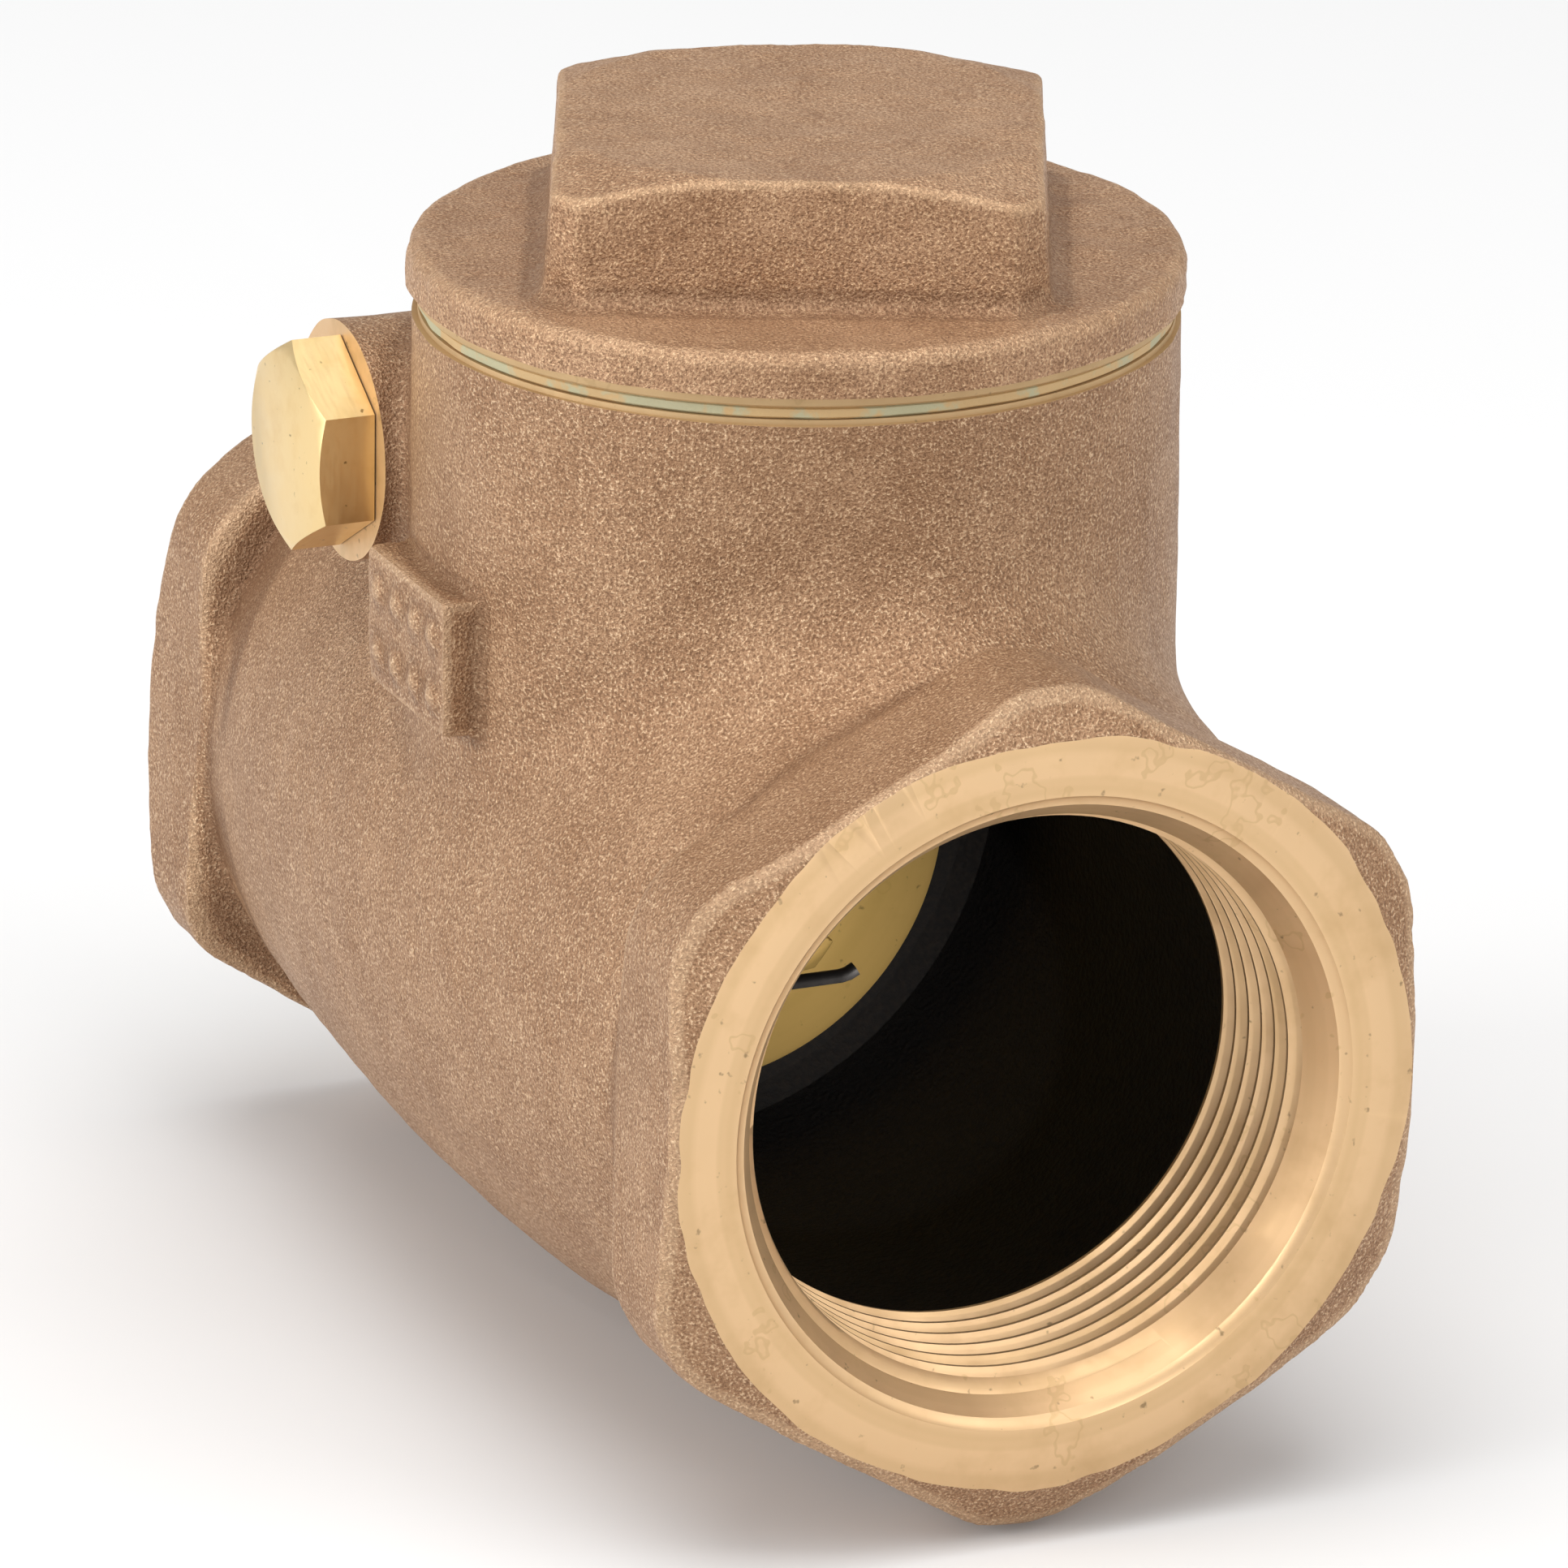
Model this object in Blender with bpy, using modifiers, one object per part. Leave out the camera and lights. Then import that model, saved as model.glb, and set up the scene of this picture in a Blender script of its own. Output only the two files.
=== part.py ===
"""Threaded bronze swing check valve for nominal 1 1/2 inch pipe, as an assembly of its real pieces.

Frame: metres, +Z up. +X is the flow direction. The origin is where the flow axis meets the axis of the
cap. The hinge pin lies along Y above the flow axis, and its plug is on the -Y side.
"""
import math

import bmesh
import bpy
from mathutils import Matrix, Vector

GAP = 0.0003                    # clearance between separate pieces
EXTRA = 0.001                   # how far a cutter runs past the face that it opens
MERGE_DISTANCE = 0.00001        # points closer than this become one

# Body casting, along the flow axis
INLET_X = -0.0617
OUTLET_X = 0.0502
COLLAR_WIDTH = 0.0128
FACE_RADIUS = 0.0299            # machined ring on each end face
INLET_FLATS = 0.06175
INLET_TURN = math.radians(2.75) # each collar is cast slightly turned about the flow axis
INLET_CORNERS = 0.0347          # radius that the hexagon's corners are rounded down to
INLET_CHAMFER = 0.0040          # length of the chamfer on the corners, along the axis
OUTLET_FLATS = 0.06096
OUTLET_TURN = math.radians(1.6)
OUTLET_CORNERS = 0.0335
OUTLET_CHAMFER = 0.0020
BELLY_RADIUS = 0.0331
BELLY_MIDDLE_X = -0.008
BELLY_BEND = 1.7                # how fast the belly narrows away from its middle, per metre

# Body openings
COUNTERSINK_RADIUS = 0.0247
COUNTERSINK_DEPTH = 0.0040
THREAD_RADIUS = 0.02226         # crest of the pipe thread at its mouth
THREAD_LENGTH = 0.0170
THREAD_TAPER = 1.0 / 32.0       # radius lost per length
CAVITY_RADIUS = 0.0255          # cavity between the inlet thread and the seat wall
CHAMBER_RADIUS = 0.0280
SEAT_X = -0.0230
SEAT_WALL_X = -0.0250
SEAT_WALL_THICKNESS = 0.0040
SEAT_BORE = 0.0180
SEAT_LAND = 0.0205
RELIEF_RADIUS = 0.0233          # thread relief between the outlet thread and the disc's chamber
WALL_SLOPE = 0.003              # length of the slopes between the passage's diameters
CUTTER_REACH = 0.0100           # how far a small hole's cutter runs to each side

# Neck and cap
NECK_RADIUS = 0.02957
NECK_TOP = 0.0490
NECK_THREAD_BORE = 0.0256
NECK_THREAD_BOTTOM = 0.0410
NECK_UNDERCUT_BORE = 0.0272
NECK_UNDERCUT_BOTTOM = 0.0240
NECK_LOWER_BORE = 0.0252
SEAL_THICKNESS = 0.00045
SEAL_INNER = 0.0261
SEAL_OUTER = 0.0290
CAP_RADIUS = 0.0300
CAP_FLANGE_TOP = 0.0543
CAP_SPIGOT_RADIUS = 0.0251
CAP_SPIGOT_BOTTOM = 0.0416
CAP_HOLLOW_RADIUS = 0.0212
CAP_HOLLOW_TOP = 0.0505
CAP_HEAD_FLATS = 0.0384
CAP_HEAD_TOP = 0.0644
CAP_HEAD_CORNER = 0.0029        # what is cut off each corner of the square
CAP_HEAD_TURN = math.radians(67)
CAP_EDGE = 0.0018               # rounding of the flange's rim
CROWN_SLOPE = 0.0062            # width of the crown's gentle slope, past the head's half width
CROWN_DROP = 0.0018
CROWN_END = 0.0082
CROWN_END_DROP = 0.0030

# Hinge pin and its plug
PIN_X = -0.0214
PIN_Z = 0.0348
PIN_RADIUS = 0.0025
PIN_START_Y = -0.0225
PIN_END_Y = 0.0215
BOSS_RADIUS = 0.0095
BOSS_FACE_Y = -0.0292
BLIND_BOSS_RADIUS = 0.0080
BLIND_BOSS_Y = 0.0245
INNER_BOSS_RADIUS = 0.0054
INNER_BOSS_Y = 0.0070           # from the middle to the face of each inner boss
INNER_BOSS_ROOT_Y = 0.0185
PIN_TIP = 0.0004                # chamfer on the pin's ends
PLUG_FLATS = 0.0149
PLUG_HEAD = 0.0045
PLUG_SHANK_RADIUS = 0.0050
PLUG_SHANK = 0.0058
PLUG_CHAMFER = 0.0010
PLUG_CORNER = 0.0015            # how far the hexagon's corners reach past its flats

# Disc assembly, hanging from the pin
HANGER_HALF_LENGTH = 0.0060
HANGER_BARREL_RADIUS = 0.0042
EYE_RADIUS = 0.0080
EYE_BACK_X = -0.0169
EYE_FRONT_X = -0.0109
ARM_WIDTH = 0.0090
ARM_INSET = 0.0004              # from the back of the eye to the back of the arm
ARM_THICKNESS = 0.0044
ARM_SHOULDER = 0.0027           # reach of the arm's top corner past the pin's axis
ARM_FRONT_DROP = 0.0085         # from the pin's axis down to where the arm's front turns upright
ARM_BACK_DROP = 0.0110
STEM_RADIUS = 0.0040
STEM_END_X = -0.0012
DISC_Z = -0.0006               # the disc hangs a little below the flow axis
DISC_RADIUS = 0.0212
DISC_BACK_X = -0.0175
DISC_PLATE = 0.0030
DISC_EDGE = 0.0005
SEAT_DISC_RADIUS = 0.0191
SEAT_DISC_THICKNESS = 0.0019
STUD_RADIUS = 0.0025
STUD_END_X = -0.0275
RETAINER_RADIUS = 0.0120
RETAINER_THICKNESS = 0.0012
NUT_FLATS = 0.0080
NUT_THICKNESS = 0.0026
WASHER_RADIUS = 0.0070
WASHER_THICKNESS = 0.0008
CASTLE_FLATS = 0.0130
CASTLE_NUT = 0.0070
CASTLE_CHAMFER = 0.0008
CASTLE_SLOT_DEPTH = 0.0026
CASTLE_SLOT_WIDTH = 0.0022
COTTER_X = -0.0040
COTTER_RADIUS = 0.0007
COTTER_HOLE = 0.0011
COTTER_TOP = 0.0086             # above the stem's axis
COTTER_FOOT = 0.0082            # below the stem's axis
COTTER_BEND = 0.0012
COTTER_LEG = 0.0062
COTTER_TIP = (0.0078, 0.0005)   # how far the bent leg reaches, and how far its tip turns up
COTTER_EYE_RADIUS = 0.0016
COTTER_EYE_BORE = 0.0006
COTTER_EYE_HALF = 0.0006
COTTER_EYE_RISE = 0.0096

# Raised pad on the neck, on the plug's side
PAD_CENTRE_X = -0.0008
PAD_CENTRE_Z = 0.0250
PAD_LENGTH = 0.0161
PAD_HEIGHT = 0.0111
PAD_FACE_Y = -0.0325
PAD_ROOT_Y = -0.0260

ROUND = 56                      # sides of the large turned shapes
DISC_SIDES = 40                 # sides of the disc and its rings
FINE = 24                       # sides of the small turned shapes

AXIS_X = Matrix.Rotation(math.radians(90), 4, "Y")
AXIS_Y = Matrix.Rotation(math.radians(-90), 4, "X")
AXIS_Z = Matrix.Identity(4)
DISC_AXIS = Matrix.Translation((0.0, 0.0, DISC_Z)) @ AXIS_X


def clear_scene():
    for item in list(bpy.data.objects):
        bpy.data.objects.remove(item, do_unlink=True)


def make_collection(name):
    group = bpy.data.collections.new(name)
    bpy.context.scene.collection.children.link(group)
    return group


def make_material(name, colour, roughness, metallic):
    material = bpy.data.materials.new(name)
    material.use_nodes = True
    shader = material.node_tree.nodes["Principled BSDF"]
    shader.inputs["Base Color"].default_value = (*colour, 1.0)
    shader.inputs["Roughness"].default_value = roughness
    shader.inputs["Metallic"].default_value = metallic
    return material


def add_object(name, mesh, group):
    item = bpy.data.objects.new(name, mesh)
    group.objects.link(item)
    if group is CUTTERS:
        item.hide_render = True
        item.display_type = "WIRE"
    return item


def turned(name, profile, group, turn=AXIS_Z, sides=ROUND, ring=False):
    """A Screw shape about the local Z. The profile holds (radius, height), and runs from top to bottom
    on its outer side. A ring's profile is closed by one more edge."""
    mesh = bpy.data.meshes.new(name)
    count = len(profile)
    edges = [(index, index + 1) for index in range(count - 1)]
    if ring:
        edges.append((count - 1, 0))
    mesh.from_pydata([(radius, 0.0, height) for radius, height in profile], edges, [])
    item = add_object(name, mesh, group)
    item.matrix_world = turn
    screw = item.modifiers.new("turn", "SCREW")
    screw.steps = sides
    screw.render_steps = sides
    screw.use_merge_vertices = True
    screw.merge_threshold = MERGE_DISTANCE
    screw.use_smooth_shade = False
    return item


def prism(name, sides, flats, start, end, group, turn=AXIS_Z, spin=0.0, centre=(0.0, 0.0, 0.0)):
    """A straight prism or round bar along the local Z, from start to end, flats across its sides."""
    radius = flats / 2 / math.cos(math.pi / sides)
    mesh = bpy.data.meshes.new(name)
    shape = bmesh.new()
    bmesh.ops.create_cone(
        shape, cap_ends=True, segments=sides, radius1=radius, radius2=radius, depth=end - start)
    shape.to_mesh(mesh)
    shape.free()
    item = add_object(name, mesh, group)
    middle = Matrix.Translation((0.0, 0.0, (start + end) / 2))
    item.matrix_world = Matrix.Translation(centre) @ turn @ middle @ Matrix.Rotation(spin, 4, "Z")
    return item


def bar(name, radius, start, end, group, turn, centre, sides=FINE):
    return prism(name, sides, 2 * radius * math.cos(math.pi / sides), start, end, group, turn, 0.0, centre)


def box(name, low, high, group):
    mesh = bpy.data.meshes.new(name)
    shape = bmesh.new()
    bmesh.ops.create_cube(shape, size=1.0)
    size = [high[axis] - low[axis] for axis in range(3)]
    bmesh.ops.scale(shape, vec=size, verts=shape.verts)
    shape.to_mesh(mesh)
    shape.free()
    item = add_object(name, mesh, group)
    item.location = [(high[axis] + low[axis]) / 2 for axis in range(3)]
    return item


def curve_mesh(curve, name, group):
    """The curve as a closed mesh, so that a Boolean can use it."""
    bpy.context.view_layer.update()
    graph = bpy.context.evaluated_depsgraph_get()
    mesh = bpy.data.meshes.new_from_object(curve.evaluated_get(graph))
    shape = bmesh.new()
    shape.from_mesh(mesh)
    bmesh.ops.remove_doubles(shape, verts=shape.verts, dist=MERGE_DISTANCE)
    bmesh.ops.recalc_face_normals(shape, faces=shape.faces)
    shape.to_mesh(mesh)
    shape.free()
    item = add_object(name, mesh, group)
    item.matrix_world = curve.matrix_world
    bpy.data.objects.remove(curve, do_unlink=True)
    return item


def outline(name, points, start, end, group, turn):
    """A flat outline in the local XY plane, made solid from start to end along the local Z."""
    curve = bpy.data.curves.new(name + "_curve", "CURVE")
    curve.dimensions = "2D"
    curve.fill_mode = "BOTH"
    curve.extrude = (end - start) / 2
    spline = curve.splines.new("POLY")
    spline.points.add(len(points) - 1)
    for point, (across, along) in zip(spline.points, points):
        point.co = (across, along, 0.0, 1.0)
    spline.use_cyclic_u = True
    item = bpy.data.objects.new(name + "_curve", curve)
    group.objects.link(item)
    item.matrix_world = turn @ Matrix.Translation((0.0, 0.0, (start + end) / 2))
    return curve_mesh(item, name, group)


def wire(name, points, radius, group):
    """A round wire through the points."""
    curve = bpy.data.curves.new(name + "_curve", "CURVE")
    curve.dimensions = "3D"
    curve.bevel_depth = radius
    curve.bevel_resolution = 2
    curve.use_fill_caps = True
    spline = curve.splines.new("POLY")
    spline.points.add(len(points) - 1)
    for point, place in zip(spline.points, points):
        point.co = (*place, 1.0)
    item = bpy.data.objects.new(name + "_curve", curve)
    group.objects.link(item)
    return curve_mesh(item, name, group)


def boolean(item, other, operation):
    change = item.modifiers.new(other.name, "BOOLEAN")
    change.operation = operation
    change.object = other
    change.solver = "EXACT"


def join(item, *others):
    for other in others:
        boolean(item, other, "UNION")


def cut(item, *others):
    for other in others:
        boolean(item, other, "DIFFERENCE")


def along_x(points):
    """A profile for a shape turned about X, from (x, radius) points that run towards +X."""
    return [(radius, x) for x, radius in reversed(points)]


def belly_radius(x):
    return BELLY_RADIUS - BELLY_BEND * (x - BELLY_MIDDLE_X) ** 2


def collar(name, face_x, inward, flats, turn, corners, chamfer):
    """A hexagon collar with flats on both Y sides and its corners chamfered at the end face."""
    back_x = face_x + inward * COLLAR_WIDTH
    low_x = min(face_x, back_x)
    high_x = max(face_x, back_x)
    item = prism(name, 6, flats, low_x, high_x, CUTTERS, AXIS_X, math.radians(30) - turn)
    points = [
        (face_x, 0.0),
        (face_x, FACE_RADIUS),
        (face_x + inward * chamfer, corners),
        (back_x + inward * EXTRA, corners),
        (back_x + inward * EXTRA, 0.0),
    ]
    if inward < 0:
        points.reverse()
    limit = turned(name + "_chamfer", along_x(points), CUTTERS, AXIS_X)
    boolean(item, limit, "INTERSECT")
    return item


def flow_passage():
    """Everything open along the flow axis, from the inlet face to the outlet face."""
    inlet_thread = INLET_X + COUNTERSINK_DEPTH
    inlet_thread_end = INLET_X + THREAD_LENGTH
    outlet_thread = OUTLET_X - COUNTERSINK_DEPTH
    outlet_thread_end = OUTLET_X - THREAD_LENGTH
    thread_end_radius = THREAD_RADIUS - THREAD_TAPER * (THREAD_LENGTH - COUNTERSINK_DEPTH)
    mouth = COUNTERSINK_RADIUS + EXTRA * (COUNTERSINK_RADIUS - THREAD_RADIUS) / COUNTERSINK_DEPTH
    wall_back_x = SEAT_WALL_X - SEAT_WALL_THICKNESS
    points = [
        (INLET_X - EXTRA, 0.0),
        (INLET_X - EXTRA, mouth),
        (inlet_thread, THREAD_RADIUS),
        (inlet_thread_end, thread_end_radius),
        (inlet_thread_end + WALL_SLOPE, CAVITY_RADIUS),
        (wall_back_x - WALL_SLOPE, CAVITY_RADIUS),
        (wall_back_x, CAVITY_RADIUS - WALL_SLOPE),
        (wall_back_x, SEAT_BORE),
        (SEAT_X, SEAT_BORE),
        (SEAT_X, SEAT_LAND),
        (SEAT_WALL_X, SEAT_LAND),
        (SEAT_WALL_X, CHAMBER_RADIUS),
        (outlet_thread_end - 3 * WALL_SLOPE, CHAMBER_RADIUS),
        (outlet_thread_end - WALL_SLOPE, RELIEF_RADIUS),
        (outlet_thread_end, RELIEF_RADIUS),
        (outlet_thread_end, thread_end_radius),
        (outlet_thread, THREAD_RADIUS),
        (OUTLET_X + EXTRA, mouth),
        (OUTLET_X + EXTRA, 0.0),
    ]
    return turned("flow_passage", along_x(points), CUTTERS, AXIS_X)


def neck_bore():
    profile = [
        (0.0, NECK_TOP + EXTRA),
        (NECK_THREAD_BORE, NECK_TOP + EXTRA),
        (NECK_THREAD_BORE, NECK_THREAD_BOTTOM),
        (NECK_UNDERCUT_BORE, NECK_THREAD_BOTTOM),
        (NECK_UNDERCUT_BORE, NECK_UNDERCUT_BOTTOM),
        (NECK_LOWER_BORE, NECK_UNDERCUT_BOTTOM),
        (NECK_LOWER_BORE, 0.0),
        (0.0, 0.0),
    ]
    return turned("neck_bore", profile, CUTTERS)


def make_body():
    steps = 8
    first = INLET_X + COLLAR_WIDTH - EXTRA
    last = OUTLET_X - COLLAR_WIDTH + EXTRA
    points = [(first, 0.0)]
    for step in range(steps + 1):
        x = first + (last - first) * step / steps
        points.append((x, belly_radius(x)))
    points.append((last, 0.0))
    body = turned("body", along_x(points), PARTS, AXIS_X)
    pin_line = (PIN_X, 0.0, PIN_Z)
    neck = bar("neck", NECK_RADIUS, 0.0, NECK_TOP, CUTTERS, AXIS_Z, (0.0, 0.0, 0.0), ROUND)
    boss = bar("boss", BOSS_RADIUS, BOSS_FACE_Y, -CUTTER_REACH, CUTTERS, AXIS_Y, pin_line)
    blind_boss = bar("blind_boss", BLIND_BOSS_RADIUS, CUTTER_REACH, BLIND_BOSS_Y, CUTTERS, AXIS_Y, pin_line)
    inlet = collar("inlet_collar", INLET_X, 1, INLET_FLATS, INLET_TURN, INLET_CORNERS, INLET_CHAMFER)
    outlet = collar(
        "outlet_collar", OUTLET_X, -1, OUTLET_FLATS, OUTLET_TURN, OUTLET_CORNERS, OUTLET_CHAMFER)
    pad = box(
        "pad",
        (PAD_CENTRE_X - PAD_LENGTH / 2, PAD_FACE_Y, PAD_CENTRE_Z - PAD_HEIGHT / 2),
        (PAD_CENTRE_X + PAD_LENGTH / 2, PAD_ROOT_Y, PAD_CENTRE_Z + PAD_HEIGHT / 2),
        CUTTERS)
    join(body, neck, inlet, outlet, boss, blind_boss, pad)
    cut(body, flow_passage(), neck_bore())
    for name, start, end in (
            ("inner_boss_plug_side", -INNER_BOSS_ROOT_Y, -INNER_BOSS_Y),
            ("inner_boss_blind_side", INNER_BOSS_Y, INNER_BOSS_ROOT_Y)):
        join(body, bar(name, INNER_BOSS_RADIUS, start, end, CUTTERS, AXIS_Y, pin_line))
    pin_hole = bar(
        "pin_hole", PIN_RADIUS + GAP, BOSS_FACE_Y, PIN_END_Y + GAP, CUTTERS, AXIS_Y, pin_line)
    plug_end = BOSS_FACE_Y + PLUG_SHANK + GAP
    plug_hole = bar(
        "plug_hole", PLUG_SHANK_RADIUS + GAP, BOSS_FACE_Y - EXTRA, plug_end, CUTTERS, AXIS_Y, pin_line)
    cut(body, pin_hole, plug_hole)
    return body


def make_cap():
    flange_bottom = NECK_TOP + 2 * GAP + SEAL_THICKNESS
    edge_middle = (1 - math.sqrt(0.5)) * CAP_EDGE
    profile = [
        (0.0, CAP_FLANGE_TOP),
        (CAP_RADIUS - CAP_EDGE, CAP_FLANGE_TOP),
        (CAP_RADIUS - edge_middle, CAP_FLANGE_TOP - edge_middle),
        (CAP_RADIUS, CAP_FLANGE_TOP - CAP_EDGE),
        (CAP_RADIUS, flange_bottom),
        (CAP_SPIGOT_RADIUS, flange_bottom),
        (CAP_SPIGOT_RADIUS, CAP_SPIGOT_BOTTOM),
        (CAP_HOLLOW_RADIUS, CAP_SPIGOT_BOTTOM),
        (CAP_HOLLOW_RADIUS, CAP_HOLLOW_TOP - WALL_SLOPE),
        (CAP_HOLLOW_RADIUS - WALL_SLOPE, CAP_HOLLOW_TOP),
        (0.0, CAP_HOLLOW_TOP),
    ]
    cap = turned("cap", profile, PARTS)
    half = CAP_HEAD_FLATS / 2
    inset = half - CAP_HEAD_CORNER
    points = []
    for quarter in range(4):
        turn = Matrix.Rotation(quarter * math.pi / 2, 2)
        points.append(tuple(turn @ Vector((half, -inset))))
        points.append(tuple(turn @ Vector((half, inset))))
    spin = Matrix.Rotation(CAP_HEAD_TURN, 4, "Z")
    head = outline("cap_head", points, CAP_FLANGE_TOP - EXTRA, CAP_HEAD_TOP, CUTTERS, spin)
    crown = [
        (0.0, CAP_HEAD_TOP),
        (half, CAP_HEAD_TOP),
        (half + CROWN_SLOPE, CAP_HEAD_TOP - CROWN_DROP),
        (half + CROWN_END, CAP_HEAD_TOP - CROWN_END_DROP),
        (half + CROWN_END, CAP_FLANGE_TOP - 2 * EXTRA),
        (0.0, CAP_FLANGE_TOP - 2 * EXTRA),
    ]
    boolean(head, turned("cap_crown", crown, CUTTERS), "INTERSECT")
    join(cap, head)
    return cap


def make_cap_seal():
    bottom = NECK_TOP + GAP
    top = bottom + SEAL_THICKNESS
    ring = [(SEAL_OUTER, top), (SEAL_OUTER, bottom), (SEAL_INNER, bottom), (SEAL_INNER, top)]
    return turned("cap_seal", ring, PARTS, ring=True)


def make_hinge_pin():
    profile = [
        (0.0, PIN_END_Y),
        (PIN_RADIUS - PIN_TIP, PIN_END_Y),
        (PIN_RADIUS, PIN_END_Y - PIN_TIP),
        (PIN_RADIUS, PIN_START_Y + PIN_TIP),
        (PIN_RADIUS - PIN_TIP, PIN_START_Y),
        (0.0, PIN_START_Y),
    ]
    place = Matrix.Translation((PIN_X, 0.0, PIN_Z)) @ AXIS_Y
    return turned("hinge_pin", profile, PARTS, place, FINE)


def make_pin_plug():
    """The plug that closes the pin's hole: a hexagon head with a chamfered face on a short shank."""
    head_back = BOSS_FACE_Y - GAP
    head_face = head_back - PLUG_HEAD
    line = (PIN_X, 0.0, PIN_Z)
    plug = prism(
        "pin_plug", 6, PLUG_FLATS, head_face, head_back, PARTS, AXIS_Y, 0.0, line)
    half = PLUG_FLATS / 2
    limit = [
        (0.0, head_back + EXTRA),
        (half + PLUG_CORNER, head_back + EXTRA),
        (half + PLUG_CORNER, head_face + PLUG_CHAMFER),
        (half, head_face),
        (0.0, head_face),
    ]
    place = Matrix.Translation(line) @ AXIS_Y
    boolean(plug, turned("plug_chamfer", limit, CUTTERS, place, FINE), "INTERSECT")
    shank_end = BOSS_FACE_Y + PLUG_SHANK
    join(plug, bar("plug_shank", PLUG_SHANK_RADIUS, head_back - EXTRA, shank_end, CUTTERS, AXIS_Y, line))
    return plug


def make_disc_hanger():
    """The swinging arm: a barrel round the pin, a cranked arm, and an eye round the disc's stem."""
    line = (PIN_X, 0.0, PIN_Z)
    hanger = bar(
        "disc_hanger", HANGER_BARREL_RADIUS, -HANGER_HALF_LENGTH, HANGER_HALF_LENGTH, PARTS, AXIS_Y, line)
    eye = bar("hanger_eye", EYE_RADIUS, EYE_BACK_X, EYE_FRONT_X, CUTTERS, AXIS_X, (0.0, 0.0, DISC_Z))
    back = EYE_BACK_X + ARM_INSET
    front = back + ARM_THICKNESS
    points = [
        (back, DISC_Z),
        (front, DISC_Z),
        (front, PIN_Z - ARM_FRONT_DROP),
        (PIN_X + ARM_SHOULDER, PIN_Z + ARM_SHOULDER),
        (PIN_X - EXTRA, PIN_Z + EXTRA),
        (PIN_X - EXTRA, PIN_Z - HANGER_BARREL_RADIUS),
        (back, PIN_Z - ARM_BACK_DROP),
    ]
    upright = Matrix.Rotation(math.radians(90), 4, "X")
    arm = outline("hanger_arm", points, -ARM_WIDTH / 2, ARM_WIDTH / 2, CUTTERS, upright)
    join(hanger, arm, eye)
    pin_hole = bar(
        "hanger_pin_hole", PIN_RADIUS + GAP, -CUTTER_REACH, CUTTER_REACH, CUTTERS, AXIS_Y, line)
    stem_hole = bar(
        "hanger_stem_hole", STEM_RADIUS + GAP, EYE_BACK_X - EXTRA, EYE_FRONT_X + EXTRA,
        CUTTERS, AXIS_X, (0.0, 0.0, DISC_Z))
    cut(hanger, pin_hole, stem_hole)
    return hanger


def make_disc_holder():
    """The metal disc with its rim, the stud that holds the seat disc, and the stem for the hanger."""
    plate_x = DISC_BACK_X - DISC_PLATE
    rim_x = plate_x - SEAT_DISC_THICKNESS
    points = [
        (STUD_END_X, 0.0),
        (STUD_END_X, STUD_RADIUS - DISC_EDGE),
        (STUD_END_X + DISC_EDGE, STUD_RADIUS),
        (plate_x, STUD_RADIUS),
        (plate_x, SEAT_DISC_RADIUS + GAP),
        (rim_x, SEAT_DISC_RADIUS + GAP),
        (rim_x, DISC_RADIUS - DISC_EDGE),
        (rim_x + DISC_EDGE, DISC_RADIUS),
        (DISC_BACK_X - DISC_EDGE, DISC_RADIUS),
        (DISC_BACK_X, DISC_RADIUS - DISC_EDGE),
        (DISC_BACK_X, STEM_RADIUS),
        (STEM_END_X - DISC_EDGE, STEM_RADIUS),
        (STEM_END_X, STEM_RADIUS - DISC_EDGE),
        (STEM_END_X, 0.0),
    ]
    holder = turned("disc_holder", along_x(points), PARTS, DISC_AXIS, DISC_SIDES)
    cotter_hole = bar(
        "cotter_hole", COTTER_HOLE, -CUTTER_REACH, CUTTER_REACH, CUTTERS, AXIS_Z, (COTTER_X, 0.0, 0.0), 12)
    cut(holder, cotter_hole)
    return holder


def disc_ring(name, low_x, high_x, inner, outer, sides):
    profile = [(inner, high_x), (outer, high_x), (outer, low_x), (inner, low_x)]
    return turned(name, profile, PARTS, DISC_AXIS, sides, ring=True)


def make_seat_disc():
    high = DISC_BACK_X - DISC_PLATE - GAP
    low = high - SEAT_DISC_THICKNESS
    return disc_ring("seat_disc", low, high, STUD_RADIUS + GAP, SEAT_DISC_RADIUS, DISC_SIDES)


def make_disc_retainer():
    high = DISC_BACK_X - DISC_PLATE - SEAT_DISC_THICKNESS - 2 * GAP
    low = high - RETAINER_THICKNESS
    return disc_ring("disc_retainer", low, high, STUD_RADIUS + GAP, RETAINER_RADIUS, FINE)


def make_retainer_nut():
    high = DISC_BACK_X - DISC_PLATE - SEAT_DISC_THICKNESS - RETAINER_THICKNESS - 3 * GAP
    centre = (0.0, 0.0, DISC_Z)
    nut = prism("retainer_nut", 6, NUT_FLATS, high - NUT_THICKNESS, high, PARTS, AXIS_X, 0.0, centre)
    cut(nut, bar(
        "retainer_nut_hole", STUD_RADIUS + GAP, high - 2 * NUT_THICKNESS, high + NUT_THICKNESS,
        CUTTERS, AXIS_X, centre))
    return nut


def make_stem_washer():
    low = EYE_FRONT_X + GAP
    high = low + WASHER_THICKNESS
    return disc_ring("stem_washer", low, high, STEM_RADIUS + GAP, WASHER_RADIUS, FINE)


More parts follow.
